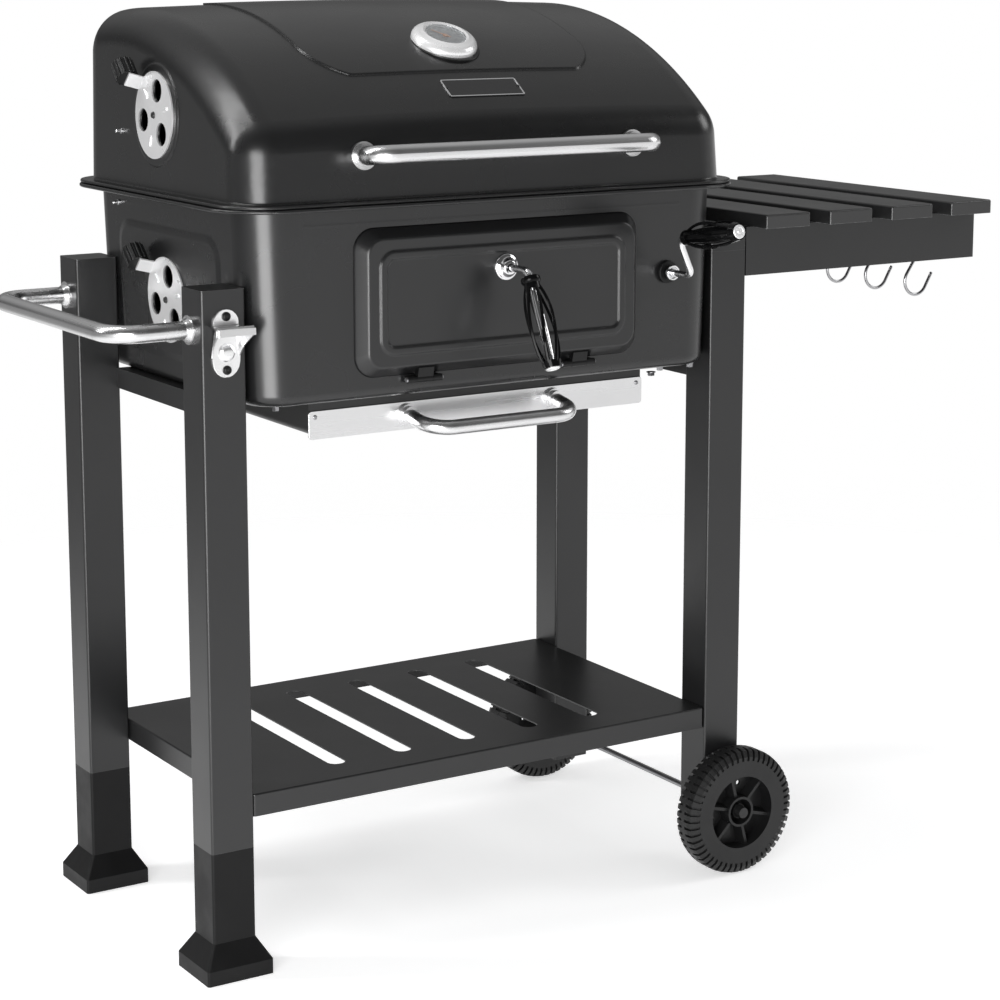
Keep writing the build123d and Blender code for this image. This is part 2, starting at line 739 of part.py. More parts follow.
end_slope = degrees(atan2(firebox_taper, firebox_top - firebox_bottom))
wall_x_at_vent = fire_hw_low + (firebox_vent_z - firebox_bottom) * end_lean
firebox_vent_plane = Plane(origin=(-wall_x_at_vent, firebox_vent_y, firebox_vent_z), x_dir=(0, 1, 0),
                           z_dir=(-cos(radians(end_slope)), 0, -sin(radians(end_slope))))
panel_mid_z = (end_panel_top + end_panel_bottom) / 2
panel_up = (panel_mid_z - firebox_vent_z) / cos(radians(end_slope))
panel_tall = end_panel_top - end_panel_bottom
with BuildPart() as firebox:
    add(tub(0, firebox_bottom, firebox_top))
    add(rim(fire_hw + flange_overhang, fire_hd + flange_overhang, firebox_corner + flange_overhang,
            firebox_top - flange_thickness, flange_thickness))
    with BuildSketch(firebox_vent_plane):
        with Locations((-firebox_vent_y, -panel_up)):
            RectangleRounded(end_panel_width, panel_tall, end_panel_corner)
    with BuildSketch(firebox_vent_plane.offset(end_panel_rise)):
        with Locations((-firebox_vent_y, -panel_up)):
            RectangleRounded(end_panel_width - 2 * end_panel_border, panel_tall - 2 * end_panel_border,
                             end_panel_corner - end_panel_border)
    loft()
    add(tub(sheet, firebox_bottom + sheet, firebox_top + 1), mode=Mode.SUBTRACT)
    with BuildSketch(Plane.XZ.offset(fire_hd + 1)):
        with Locations((0, door_centre_z)):
            RectangleRounded(door_width - 2 * opening_margin, door_height - 2 * opening_margin,
                             opening_corner)
    extrude(amount=-sheet - 2, mode=Mode.SUBTRACT)
    for sy in (-1, 1):
        with BuildSketch(Plane.XY.offset(grate_ledge_z - sheet)):
            with Locations((0, sy * (fire_hd - sheet))):
                Rectangle(ledge_length, ledge_width, align=(Align.CENTER, Align.MIN if sy < 0 else Align.MAX))
        extrude(amount=sheet)
    with BuildSketch(Plane.XY.offset(firebox_bottom - 1)):
        RectangleRounded(ash_hole_width, ash_hole_depth, ash_hole_corner)
    extrude(amount=sheet + 2, mode=Mode.SUBTRACT)
    with BuildSketch(firebox_vent_plane.offset(end_panel_rise + 1)):
        vent_holes_at(-vent_hole_angle)
        Circle(vent_rivet / 4)
    extrude(amount=-end_panel_rise - sheet - 4, mode=Mode.SUBTRACT)
    with BuildSketch(Plane.XZ.offset(fire_hd + 1)):
        with Locations((crank_x, crank_z)):
            Circle(rod_diameter / 2 + rod_gap)
    extrude(amount=-sheet - 2, mode=Mode.SUBTRACT)
save(firebox.part, "firebox")


# ================================================================== air vents
def make_vent(plane, name):
    """A stamped disc with three holes and ribs and a bent lever, and the ribbed knob on it."""
    angle = radians(vent_tab_angle)
    radial = plane.x_dir * cos(angle) - plane.y_dir * sin(angle)
    lever = Plane(origin=plane.origin, x_dir=radial, z_dir=radial.cross(plane.z_dir))
    face = vent_gap + vent_thickness
    edge = vent_diameter / 2
    knob_start = vent_tab_end - vent_knob_length / 2
    with BuildPart() as disc:
        with BuildSketch(plane.offset(vent_gap)):
            Circle(edge)
            with PolarLocations(vent_hole_circle, vent_holes, start_angle=-vent_hole_angle):
                Circle(vent_hole / 2, mode=Mode.SUBTRACT)
            Circle(vent_rivet / 4 + vent_turn_gap, mode=Mode.SUBTRACT)
        extrude(amount=vent_thickness)
        with BuildSketch(plane.offset(face)):
            with PolarLocations(vent_hole_circle + vent_rib_width / 2, vent_holes,
                                start_angle=180 / vent_holes - vent_hole_angle):
                SlotOverall(vent_rib_length, vent_rib_width)
        extrude(amount=vent_rib_rise, taper=30)
        with BuildSketch(lever.offset(-vent_tab_width / 2)):
            with BuildLine():
                Polyline((edge - 8, vent_gap), (edge - 1, vent_gap),
                         (knob_start - 1, vent_knob_stand - vent_thickness / 2),
                         (vent_tab_end + vent_tab_past, vent_knob_stand - vent_thickness / 2),
                         (vent_tab_end + vent_tab_past, vent_knob_stand + vent_thickness / 2),
                         (knob_start - 2, vent_knob_stand + vent_thickness / 2),
                         (edge - 2, face), (edge - 8, face), close=True)
            make_face()
        extrude(amount=vent_tab_width)
    save(disc.part, f"{name}_vent_disc")
    end = Plane(origin=plane.origin + radial * knob_start + plane.z_dir * vent_knob_stand,
                x_dir=plane.z_dir, z_dir=radial)
    with BuildPart() as knob:
        with BuildSketch(end):
            Circle(vent_knob_diameter / 2 - 1)
            with PolarLocations(vent_knob_diameter / 2 - 1, vent_knob_ribs):
                Circle(1.5)
        extrude(amount=vent_knob_length)
        chamfer(knob.faces().sort_by(lambda f: (f.center() - plane.origin).dot(radial))[-1].edges(), 0.6)
        with BuildSketch(end):
            Rectangle(vent_thickness, vent_tab_width)
        extrude(amount=vent_tab_end + vent_tab_past - knob_start, mode=Mode.SUBTRACT)
    save(knob.part, f"{name}_vent_knob")


def vent_rivet_solid(plane, wall):
    """Domed head over the disc, with a shank through the disc and the wall."""
    with BuildPart(mode=Mode.PRIVATE) as rivet:
        with BuildSketch(plane.offset(-wall)):
            Circle(vent_rivet / 4)
        extrude(amount=wall + vent_gap + vent_thickness + vent_rib_rise + 0.4)
        with BuildSketch(plane.offset(vent_gap + vent_thickness + vent_turn_gap)):
            Circle(vent_rivet / 2)
        extrude(amount=2, taper=25)
    return rivet.part


firebox_disc_plane = firebox_vent_plane.offset(end_panel_rise)
make_vent(firebox_disc_plane, "firebox")

# ================================================================== front door
door_base_y = wall_y - door_gap
door_face_y = door_base_y - door_rise
door_low_z = door_centre_z - door_height / 2


def door_pan(inset, rise):
    """The pressed pan of the door, `inset` inside its outer surface."""
    with BuildPart(mode=Mode.PRIVATE) as pan:
        for depth, bevel in ((0, 0), (rise, door_bevel)):
            with BuildSketch(Plane.XZ.offset(-door_base_y + depth)):
                with Locations((0, door_centre_z)):
                    RectangleRounded(door_width - 2 * (inset + bevel), door_height - 2 * (inset + bevel),
                                     door_corner - (inset + bevel) * 0.6)
        loft()
    return pan.part


hinge_y = wall_y - hinge_stand
hinge_z = door_low_z - hinge_drop
bevel_length = sqrt(door_rise ** 2 + door_bevel ** 2)
bevel_y, bevel_z = -door_rise / bevel_length, door_bevel / bevel_length
leaf_y, leaf_z = -bevel_z * hinge_leaf, bevel_y * hinge_leaf
knuckle_length = hinge_length * 0.45
bead_across = door_width - 2 * bead_inset
bead_tall = door_height - 2 * bead_inset

with BuildPart() as door:
    add(door_pan(0, door_rise))
    fillet(door.faces().sort_by(Axis.Y)[0].edges(), 2.5)
    with BuildSketch(Plane.XZ.offset(-door_face_y)):
        with Locations((0, door_centre_z)):
            RectangleRounded(bead_across + bead_width, bead_tall + bead_width, bead_corner + bead_width / 2)
            RectangleRounded(bead_across - bead_width, bead_tall - bead_width, bead_corner - bead_width / 2,
                             mode=Mode.SUBTRACT)
    extrude(amount=bead_rise, taper=40)
    add(door_pan(door_sheet, door_rise - door_sheet), mode=Mode.SUBTRACT)
    with BuildSketch(Plane.XZ.offset(-wall_y)):
        with Locations((0, latch_z)):
            Circle(rod_diameter / 2 + rod_gap)
    extrude(amount=2 * door_rise, mode=Mode.SUBTRACT)
save(door.part, "door")


def on_bevel(along, out=0):
    """A point on the door's lower bevel, `along` it from the wall and `out` from its surface."""
    return (door_base_y + bevel_y * along + leaf_y / hinge_leaf * out,
            door_low_z + bevel_z * along + leaf_z / hinge_leaf * out)


with BuildPart() as straps:
    for sx in (-1, 1):
        with BuildSketch(Plane.YZ.offset(sx * hinge_spread - knuckle_length / 2)):
            with BuildLine():
                Polyline(on_bevel(4), on_bevel(bevel_length - 4), on_bevel(bevel_length - 4, hinge_leaf),
                         (hinge_y - hinge_barrel / 2 * 0.8, hinge_z + hinge_barrel / 2 * 0.6),
                         (hinge_y, hinge_z), close=True)
            make_face()
            with Locations((hinge_y, hinge_z)):
                Circle(hinge_barrel / 2)
                Circle(hinge_pin / 2 + hinge_gap, mode=Mode.SUBTRACT)
        extrude(amount=knuckle_length)
save(straps.part, "door_hinge_straps")

ear_length = (hinge_length - knuckle_length) / 2 - 0.4
with BuildPart() as door_brackets:
    for sx in (-1, 1):
        for start in (-hinge_length / 2, hinge_length / 2 - ear_length):
            with BuildSketch(Plane.YZ.offset(sx * hinge_spread + start)):
                with Locations((wall_y, hinge_z)):
                    Rectangle(hinge_stand, hinge_barrel * 0.8, align=(Align.MAX, Align.CENTER))
                with Locations((hinge_y, hinge_z)):
                    Circle(hinge_barrel / 2)
                    Circle(hinge_pin / 2, mode=Mode.SUBTRACT)
            extrude(amount=ear_length)

with BuildPart() as rosette:
    with BuildSketch(Plane.XZ.offset(-door_face_y)):
        with Locations((0, latch_z)):
            Circle(door_rosette_diameter / 2)
    extrude(amount=door_rosette_length * 0.4)
    with BuildSketch(Plane.XZ.offset(-door_face_y + door_rosette_length * 0.4)):
        with Locations((0, latch_z)):
            Circle(door_rosette_diameter / 2 - 4)
    extrude(amount=door_rosette_length * 0.6, taper=25)
    with BuildSketch(Plane.XZ.offset(-door_face_y - 1)):
        with Locations((0, latch_z)):
            Circle(rod_diameter / 2 + rod_gap)
    extrude(amount=door_rosette_length + 2, mode=Mode.SUBTRACT)
save(rosette.part, "door_handle_rosette")


# ================================================================== wire-cage grips
def make_grip(start, direction, name):
    """A collar, six bowed wires and a domed end cap, round a bar that runs along `direction`."""
    base = Plane(origin=start, z_dir=direction)
    end = grip_length
    with BuildPart() as grip:
        with BuildSketch(base):
            Circle(grip_collar_radius)
        extrude(amount=grip_collar_length)
        with BuildSketch(base.offset(end)):
            Circle(grip_collar_radius + 2)
        extrude(amount=grip_collar_length, taper=grip_end_taper)
        for i in range(grip_wires):
            turn = 2 * pi * i / grip_wires
            points = []
            for share, r in ((0.04, grip_collar_radius - grip_wire / 2), (0.3, grip_radius * 0.82),
                             (0.6, grip_radius - grip_wire / 2), (1.02, grip_collar_radius)):
                around = turn + radians(50) * share
                points.append(base.from_local_coords(Vector(r * cos(around), r * sin(around), share * end)))
            with BuildLine() as path:
                Spline(*points)
            with BuildSketch(Plane(origin=path.line @ 0, z_dir=path.line % 0)):
                RegularPolygon(grip_wire / 2, 6)
            sweep(path=path.line)
        with BuildSketch(base.offset(-1)):
            Circle(rod_diameter / 2)
        extrude(amount=end + 4, mode=Mode.SUBTRACT)
    save(grip.part, name)


def make_turning_rod(points, name, extra=None):
    with BuildPart() as bar:
        add(rod(points, rod_bend, rod_diameter))
        if extra:
            add(extra)
    save(bar.part, name)


lean = radians(latch_lean)
latch_out = Vector(0, -sin(lean), -cos(lean))
latch_knee = Vector(0, door_face_y - latch_reach, latch_z)
cam_y = door_face_y + door_sheet + latch_cam_gap
with BuildPart() as cam:
    with BuildSketch(Plane.XZ.offset(-cam_y - latch_cam_thickness)):
        with Locations((0, latch_z)):
            Circle(latch_cam_width / 2)
            Rectangle(latch_cam_width, latch_cam_length, align=(Align.CENTER, Align.MIN))
    extrude(amount=latch_cam_thickness)
make_turning_rod([(0, cam_y + latch_cam_thickness, latch_z), tuple(latch_knee),
                  tuple(latch_knee + latch_out * (grip_start + grip_length + 2))], "latch_rod", cam.part)
make_grip(latch_knee + latch_out * grip_start, latch_out, "latch_grip")

# ================================================================== crank, pinion and rack
pitch_radius = gear_module * pinion_teeth / 2
pinion_y = wall_y + sheet + pinion_wall_gap          # front face of the pinion
crank_knee = Vector(crank_x, grip_y, crank_z)
crank_elbow = crank_knee + Vector(crank_arm_x, 0, crank_arm_z)
crank_out = Vector(0, -cos(radians(crank_tilt)), sin(radians(crank_tilt)))
make_grip(crank_elbow + crank_out * grip_start, crank_out, "crank_grip")

with BuildPart() as bushing:
    with BuildSketch(Plane.XZ.offset(-wall_y)):
        with Locations((crank_x, crank_z)):
            Circle(bushing_diameter / 2)
    extrude(amount=bushing_length * 0.5)
    with BuildSketch(Plane.XZ.offset(-wall_y + bushing_length * 0.5)):
        with Locations((crank_x, crank_z)):
            Circle(bushing_diameter / 2 - 4)
    extrude(amount=bushing_length * 0.5)
    with BuildSketch(Plane.XZ.offset(-wall_y - 1)):
        with Locations((crank_x, crank_z)):
            Circle(rod_diameter / 2 + rod_gap)
    extrude(amount=bushing_length + 2, mode=Mode.SUBTRACT)
save(bushing.part, "crank_bushing")


def tooth_outline(teeth):
    """One involute tooth of a spur gear, pointing along +X, closed inside the root circle."""
    pitch = gear_module * teeth / 2
    base = pitch * cos(radians(gear_pressure_angle))
    tip = pitch + gear_module
    root = pitch - 1.25 * gear_module

    def involute(r):
        a = 0 if r <= base else sqrt((r / base) ** 2 - 1)
        return a - atan2(a, 1)

    half = (pi * gear_module - gear_backlash) / 4 / pitch + involute(pitch)
    radii = [base, (base + tip) / 2, tip]
    flank = [(r * cos(half - involute(r)), r * sin(half - involute(r))) for r in radii]
    foot = (root * 0.9 * cos(half), root * 0.9 * sin(half))
    with BuildSketch(mode=Mode.PRIVATE) as tooth:
        with BuildLine():
            Line(foot, flank[0])
            Spline(*flank)
            Line(flank[-1], (flank[-1][0], -flank[-1][1]))
            Spline(*[(x, -y) for x, y in reversed(flank)])
            Line((flank[0][0], -flank[0][1]), (foot[0], -foot[1]))
            Line((foot[0], -foot[1]), foot)
        make_face()
    return tooth.sketch


with BuildPart() as pinion:
    with BuildSketch(Plane.XZ.offset(-pinion_y - pinion_width)):
        with Locations((crank_x, crank_z)):
            Circle(pitch_radius - 1.25 * gear_module)
            with PolarLocations(0, pinion_teeth):
                add(tooth_outline(pinion_teeth))
            Circle(rod_diameter / 2, mode=Mode.SUBTRACT)
    extrude(amount=pinion_width)
make_turning_rod([(crank_x, pinion_y + pinion_width + 3, crank_z), tuple(crank_knee),
                  tuple(crank_elbow),
                  tuple(crank_elbow + crank_out * (grip_start + grip_length + 2))], "crank_rod", pinion.part)

tooth_pitch = pi * gear_module
rack_addendum = 0.65 * gear_module      # short teeth clear the small pinion's roots
rack_x = crank_x - pitch_radius
rack_root_x = rack_x - 1.25 * gear_module
rack_back_x = rack_root_x - rack_back
teeth_below = int(lift_travel / tooth_pitch) + 2
rack_low = crank_z - (teeth_below + 1) * tooth_pitch
rack_high = crank_z + 2 * tooth_pitch
flank_shift = tan(radians(gear_pressure_angle))
rack_half = (tooth_pitch - gear_backlash) / 4
tray_front_y = tray_shift_y - tray_depth / 2
rack_y = pinion_y + (pinion_width - rack_width) / 2
with BuildPart() as rack:
    with BuildSketch(Plane.XZ.offset(-rack_y - rack_width)):
        with Locations((rack_back_x, rack_low)):
            Rectangle(rack_back, rack_high - rack_low, align=Align.MIN)
        for i in range(-teeth_below, 2):
            z = crank_z + (i - 0.5) * tooth_pitch
            low = rack_half + 1.25 * gear_module * flank_shift
            high = rack_half - rack_addendum * flank_shift
            with BuildLine():
                Polyline((rack_root_x, z - low), (rack_x + rack_addendum, z - high),
                         (rack_x + rack_addendum, z + high), (rack_root_x, z + low), close=True)
            make_face()
    extrude(amount=rack_width)
    with BuildSketch(Plane.YZ.offset(rack_back_x)):
        with Locations((rack_y, rack_low)):
            Rectangle(tray_front_y - rack_y, tray_height * 0.6, align=Align.MIN)
    extrude(amount=3)
    with BuildSketch(Plane.XZ.offset(-tray_front_y)):
        with Locations((rack_back_x, rack_low)):
            Rectangle(24, tray_height * 0.6, align=(Align.CENTER, Align.MIN))
    extrude(amount=3)
save(rack.part, "lift_rack")

# ================================================================== charcoal tray, grate and guides
tray_top = tray_bottom + tray_height
lug_reach = guide_rod_x + guide_rod_diameter / 2 + guide_gap + guide_lug_wall
with BuildPart() as tray:
    with BuildSketch(Plane.XY.offset(tray_bottom)):
        with Locations((0, tray_shift_y)):
            RectangleRounded(tray_width, tray_depth, tray_corner)
    extrude(amount=tray_height)
    fillet(tray.edges().group_by(Axis.Z)[0], tray_floor_edge)
    with BuildSketch(Plane.XY.offset(tray_top - tray_wall)):
        with GridLocations(0, 2 * guide_rod_y, 1, 2):
            SlotOverall(2 * lug_reach, 2 * (guide_lug_wall + guide_gap) + guide_rod_diameter)
    extrude(amount=tray_wall)
    with BuildPart(mode=Mode.PRIVATE) as hollow:
        with BuildSketch(Plane.XY.offset(tray_bottom + tray_wall)):
            with Locations((0, tray_shift_y)):
                RectangleRounded(tray_width - 2 * tray_wall, tray_depth - 2 * tray_wall,
                                 tray_corner - tray_wall)
        extrude(amount=tray_height)
        fillet(hollow.edges().group_by(Axis.Z)[0], tray_floor_edge - tray_wall)
    add(hollow.part, mode=Mode.SUBTRACT)
    with BuildSketch(Plane.XY.offset(tray_bottom - 1)):
        with Locations((0, tray_shift_y)):
            with GridLocations(tray_slot_pitch, 0, tray_slots, 1):
                SlotOverall(tray_slot_length, tray_slot_width, rotation=90)
    extrude(amount=tray_wall + 2, mode=Mode.SUBTRACT)
    with BuildSketch(Plane.XY.offset(tray_top - tray_wall - 1)):
        with GridLocations(2 * guide_rod_x, 2 * guide_rod_y, 2, 2):
            Circle(guide_rod_diameter / 2 + guide_gap)
    extrude(amount=tray_wall + 2, mode=Mode.SUBTRACT)
save(tray.part, "charcoal_tray")

grate_half_x = tray_width / 2 - tray_wall - coal_grate_gap - 8
grate_half_y = tray_depth / 2 - tray_wall - coal_grate_gap - 8
with BuildPart() as coal_grate:
    low_z = tray_bottom + tray_wall + coal_grate_rod / 2
    with BuildSketch(Plane.YZ.offset(-grate_half_x)):
        with Locations((tray_shift_y, low_z)):
            with GridLocations(grate_half_y * 1.5, 0, 2, 1):
                Circle(coal_grate_rod / 2)
    extrude(amount=2 * grate_half_x)
    with BuildSketch(Plane.XZ.offset(-tray_shift_y - grate_half_y)):
        with Locations((0, low_z + coal_grate_rod * 0.8)):
            with GridLocations(2 * (grate_half_x - 6) / (coal_grate_bars - 1), 0, coal_grate_bars, 1):
                Circle(coal_grate_rod / 2)
    extrude(amount=2 * grate_half_y)
save(coal_grate.part, "charcoal_grate")

floor_z = firebox_bottom + sheet
end_inner_x = fire_hw_low - sheet + (guide_rod_top - tray_wall - firebox_bottom) * end_lean - door_gap
with BuildPart() as guides:
    with BuildSketch(Plane.XY.offset(floor_z)):
        with GridLocations(2 * guide_rod_x, 2 * guide_rod_y, 2, 2):
            Circle(guide_rod_diameter / 2)
    extrude(amount=guide_rod_top - floor_z)
    for sx in (-1, 1):
        with BuildSketch(Plane.XY.offset(guide_rod_top - tray_wall)):
            with Locations((sx * end_inner_x, 0)):
                Rectangle(end_inner_x - guide_rod_x + guide_rod_diameter / 2, 2 * guide_rod_y + 20,
                          align=(Align.MAX if sx > 0 else Align.MIN, Align.CENTER))
        extrude(amount=tray_wall)
save(guides.part, "lift_guides")

# ================================================================== cooking grates
grate_hw = fire_hw - sheet - grate_gap
grate_hd = fire_hd - sheet - grate_gap
with BuildPart() as grates:
    for sx in (-1, 1):
        with BuildSketch(Plane.XY.offset(grate_ledge_z), mode=Mode.PRIVATE) as outline:
            RectangleRounded(2 * grate_hw, 2 * grate_hd, firebox_corner - sheet)
            with Locations((sx * grate_gap / 2, 0)):
                Rectangle(2 * grate_hw, 2 * grate_hd + 1,
                          align=(Align.MAX if sx > 0 else Align.MIN, Align.CENTER), mode=Mode.SUBTRACT)
        with BuildSketch(Plane.XY.offset(grate_ledge_z)):
            add(outline.sketch)
            add(offset(outline.sketch, -grate_rod, mode=Mode.PRIVATE), mode=Mode.SUBTRACT)
        extrude(amount=grate_rod)
        with BuildPart(mode=Mode.PRIVATE) as bars:
            with BuildSketch(Plane.XZ.offset(-grate_hd)):
                with Locations((sx * grate_hw / 2, grate_ledge_z + grate_rod / 2)):
                    with GridLocations(grate_hw / (grate_bars + 1), 0, grate_bars, 1):
                        Circle(grate_rod / 2)
            extrude(amount=2 * grate_hd)
            with BuildSketch(Plane.XY.offset(grate_ledge_z)):
                add(offset(outline.sketch, -grate_rod / 2, mode=Mode.PRIVATE))
            extrude(amount=grate_rod, mode=Mode.INTERSECT)
        add(bars.part)
        with BuildSketch(Plane.XY.offset(grate_ledge_z)):
            with Locations((sx * grate_hw / 2, 0)):
                Rectangle(grate_hw - 2 * grate_rod, grate_rod)
        extrude(amount=grate_rod * 0.6)
save(grates.part, "cooking_grates")

# ================================================================== ash drawer
drawer_face_y = wall_y + drawer_setback
plate_y = drawer_face_y - drawer_front_gap              # back of the stainless front
with BuildPart() as ash_tray:
    with BuildSketch(Plane.XY.offset(drawer_top - drawer_height)):
        with Locations((0, plate_y)):
            Rectangle(drawer_width, drawer_depth, align=(Align.CENTER, Align.MIN))
    extrude(amount=drawer_height)
    fillet(ash_tray.edges().group_by(Axis.Z)[0].filter_by(Axis.Y), drawer_edge)
    with BuildSketch(Plane.XY.offset(drawer_top - drawer_wall)):
        with Locations((0, plate_y)):
            Rectangle(drawer_width + 2 * drawer_lip, drawer_depth, align=(Align.CENTER, Align.MIN))
    extrude(amount=drawer_wall)
    with BuildPart(mode=Mode.PRIVATE) as hollow:
        with BuildSketch(Plane.XY.offset(drawer_top - drawer_height + drawer_wall)):
            with Locations((0, plate_y + drawer_wall)):
                Rectangle(drawer_width - 2 * drawer_wall, drawer_depth - 2 * drawer_wall,
                          align=(Align.CENTER, Align.MIN))
        extrude(amount=drawer_height)
        fillet(hollow.edges().group_by(Axis.Z)[0].filter_by(Axis.Y), drawer_edge - drawer_wall)
    add(hollow.part, mode=Mode.SUBTRACT)
save(ash_tray.part, "ash_tray")

with BuildPart() as drawer_front:
    with BuildSketch(Plane.XZ.offset(-plate_y)):
        with Locations((0, drawer_front_top - drawer_front_height / 2)):
            RectangleRounded(drawer_front_width, drawer_front_height, 4)
    extrude(amount=drawer_front_wall)
    fillet(drawer_front.faces().sort_by(Axis.Y)[0].edges(), 0.6)
save(drawer_front.part, "drawer_front")

front_plane = Plane(origin=(0, plate_y - drawer_front_wall, drawer_front_top - drawer_handle_drop),
                    x_dir=(1, 0, 0), z_dir=(0, -1, 0))


def bar_handle(plane, spread, overrun, reach, sink, bend, tube, name):
    """A bent tube that stands off `plane` on two stepped rosettes, its grip lowered by `sink`."""
    half = spread / 2
    start = rosette_length / 2
    corners = [(-half, 0, start), (-half - overrun, -sink, reach), (half + overrun, -sink, reach),
               (half, 0, start)]
    with BuildPart() as handle:
        add(rod([tuple(plane.from_local_coords(Vector(*c))) for c in corners], bend, tube))
        for sx in (-1, 1):
            for step, radius in ((0, tube / 2 + 5), (start, tube / 2 + 2.5)):
                with BuildSketch(plane.offset(step)):
                    with Locations((sx * half, 0)):
                        Circle(radius)
                extrude(amount=start)
    save(handle.part, name)


bar_handle(front_plane, drawer_handle_spread, 0, drawer_handle_reach, drawer_handle_sink, drawer_bend,
           drawer_handle_tube, "drawer_handle")

lip_x = drawer_width / 2 + drawer_lip + runner_gap
foot_z = drawer_top - drawer_wall - runner_gap - runner_wall
runner_end = plate_y + drawer_depth + drawer_lip
with BuildPart() as runners:
    for sx in (-1, 1):
        with BuildSketch(Plane.XZ.offset(-drawer_face_y)):
            with BuildLine():
                Polyline((sx * (drawer_width / 2 + runner_gap), foot_z),
                         (sx * (lip_x + runner_wall), foot_z),
                         (sx * (lip_x + runner_wall), firebox_bottom - runner_wall),
                         (sx * (lip_x + runner_flange), firebox_bottom - runner_wall),
                         (sx * (lip_x + runner_flange), firebox_bottom), (sx * lip_x, firebox_bottom),
                         (sx * lip_x, foot_z + runner_wall),
                         (sx * (drawer_width / 2 + runner_gap), foot_z + runner_wall), close=True)
            make_face()
        extrude(amount=-(runner_end - drawer_face_y))
    with BuildSketch(Plane.XZ.offset(-drawer_face_y)):
        with Locations((0, firebox_bottom)):
            Rectangle(2 * lip_x, firebox_bottom - drawer_top - 1, align=(Align.CENTER, Align.MAX))
    extrude(amount=-runner_wall)
    with BuildSketch(Plane.XZ.offset(-runner_end)):
        with Locations((0, firebox_bottom)):
            Rectangle(2 * lip_x, firebox_bottom - foot_z, align=(Align.CENTER, Align.MAX))
    extrude(amount=runner_wall)
save(runners.part, "drawer_runners")

# ================================================================== lid
crown_z = lid_height - lid_arc_radius
crease_y = -lid_hd + lid_front_lean
crease_z = crown_z + sqrt(lid_arc_radius ** 2 - (crease_y - lid_arc_y) ** 2)
front_slope = lid_front_lean / (crease_z - lid_bottom)
lid_slope = lid_end_taper / (lid_height - lid_bottom)


def dome(inset):
    """The crowned lid form, `inset` inside its outer surface, down to the rim."""
    radius = lid_arc_radius - inset
    front = -lid_hd + inset
    top_y = front + lid_front_lean
    top_z = crown_z + sqrt(radius ** 2 - (top_y - lid_arc_y) ** 2)
    rear = lid_hd - inset
    rear_z = crown_z + sqrt(radius ** 2 - (rear - lid_arc_y) ** 2)
    half = lid_hw - inset
    ridge = lid_height - inset
    sweep_end = lid_hw + 20
    sag = sweep_end ** 2 / 2 / lid_crown_radius
    with BuildPart(mode=Mode.PRIVATE) as body:
        with BuildLine() as path:
            ThreePointArc((-sweep_end, 0, ridge - sag), (0, 0, ridge), (sweep_end, 0, ridge - sag))
        start = Plane(origin=path.line @ 0, x_dir=(0, 1, 0), z_dir=path.line % 0)
        with BuildSketch(start):
            with BuildLine():
                foot = lid_bottom - 1 - ridge
                Polyline((front - front_slope, foot), (rear, foot), (rear, rear_z - ridge))
                ThreePointArc((rear, rear_z - ridge), (lid_arc_y, 0), (top_y, top_z - ridge))
                Line((top_y, top_z - ridge), (front - front_slope, foot))
            make_face()
        sweep(path=path.line)
        fillet(body.edges().filter_by(lambda e: abs(e.center().Z - top_z) < 12 and e.center().Y < 0
                                      and e.length > lid_hw), lid_crease_radius - inset)
        fillet(body.edges().filter_by(lambda e: e.center().Z > lid_bottom + 100 and e.center().Y > 200
                                      and e.length > lid_hw), lid_rear_radius - inset)
        with BuildSketch(Plane.XZ.offset(-lid_depth)):
            with BuildLine():
                low = half + lid_slope
                high = half - lid_end_taper
                Polyline((-low, lid_bottom - 1), (low, lid_bottom - 1), (high, lid_height + 9),
                         (-high, lid_height + 9), close=True)
            make_face()
        extrude(amount=2 * lid_depth, mode=Mode.INTERSECT)
        fillet(body.faces().filter_by(lambda f: abs(f.normal_at().X) > 0.9).edges()
               .filter_by(lambda e: e.center().Z > lid_bottom + 5), lid_end_radius - inset)
    return body.part


lid_tilt = degrees(atan2(lid_end_taper, lid_height - lid_bottom))
lid_vent_plane = Plane(origin=(-lid_hw + (lid_vent_z - lid_bottom) * lid_slope, lid_vent_y, lid_vent_z),
                       x_dir=(0, 1, 0), z_dir=(-cos(radians(lid_tilt)), 0, sin(radians(lid_tilt))))
thermo_turn = asin((lid_arc_y - thermo_y) / lid_arc_radius)
thermo_out = Vector(0, -sin(thermo_turn), cos(thermo_turn))
thermo_plane = Plane(origin=Vector(0, lid_arc_y, crown_z) + thermo_out * (lid_arc_radius + panel_rise),
                     x_dir=(1, 0, 0), z_dir=thermo_out)
shoulder_x = (panel_half_front + panel_half_rear) / 2 + panel_bow
shoulder_y = (panel_front_y + panel_shoulder_y) / 2 - panel_bow * 2 / 3
side_x = panel_half_rear - panel_bow * 2 / 3
with BuildPart() as panel:
    with BuildSketch(Plane.XY.offset(lid_bottom + lid_crease_radius)):
        with BuildLine():
            Line((-panel_half_front, panel_front_y), (panel_half_front, panel_front_y))
            ThreePointArc((panel_half_front, panel_front_y), (shoulder_x, shoulder_y),
                          (side_x, panel_shoulder_y))
            Line((side_x, panel_shoulder_y), (panel_half_rear, panel_rear_y))
            Line((panel_half_rear, panel_rear_y), (-panel_half_rear, panel_rear_y))
            Line((-panel_half_rear, panel_rear_y), (-side_x, panel_shoulder_y))
            ThreePointArc((-side_x, panel_shoulder_y), (-shoulder_x, shoulder_y),
                          (-panel_half_front, panel_front_y))
        make_face()
        fillet(vertices().filter_by(lambda v: v.Y > panel_shoulder_y + 1 or v.Y < panel_front_y + 1),
               panel_corner)
    extrude(amount=lid_height - lid_bottom)
    add(dome(-panel_rise), mode=Mode.INTERSECT)
    add(dome(sheet / 2), mode=Mode.SUBTRACT)
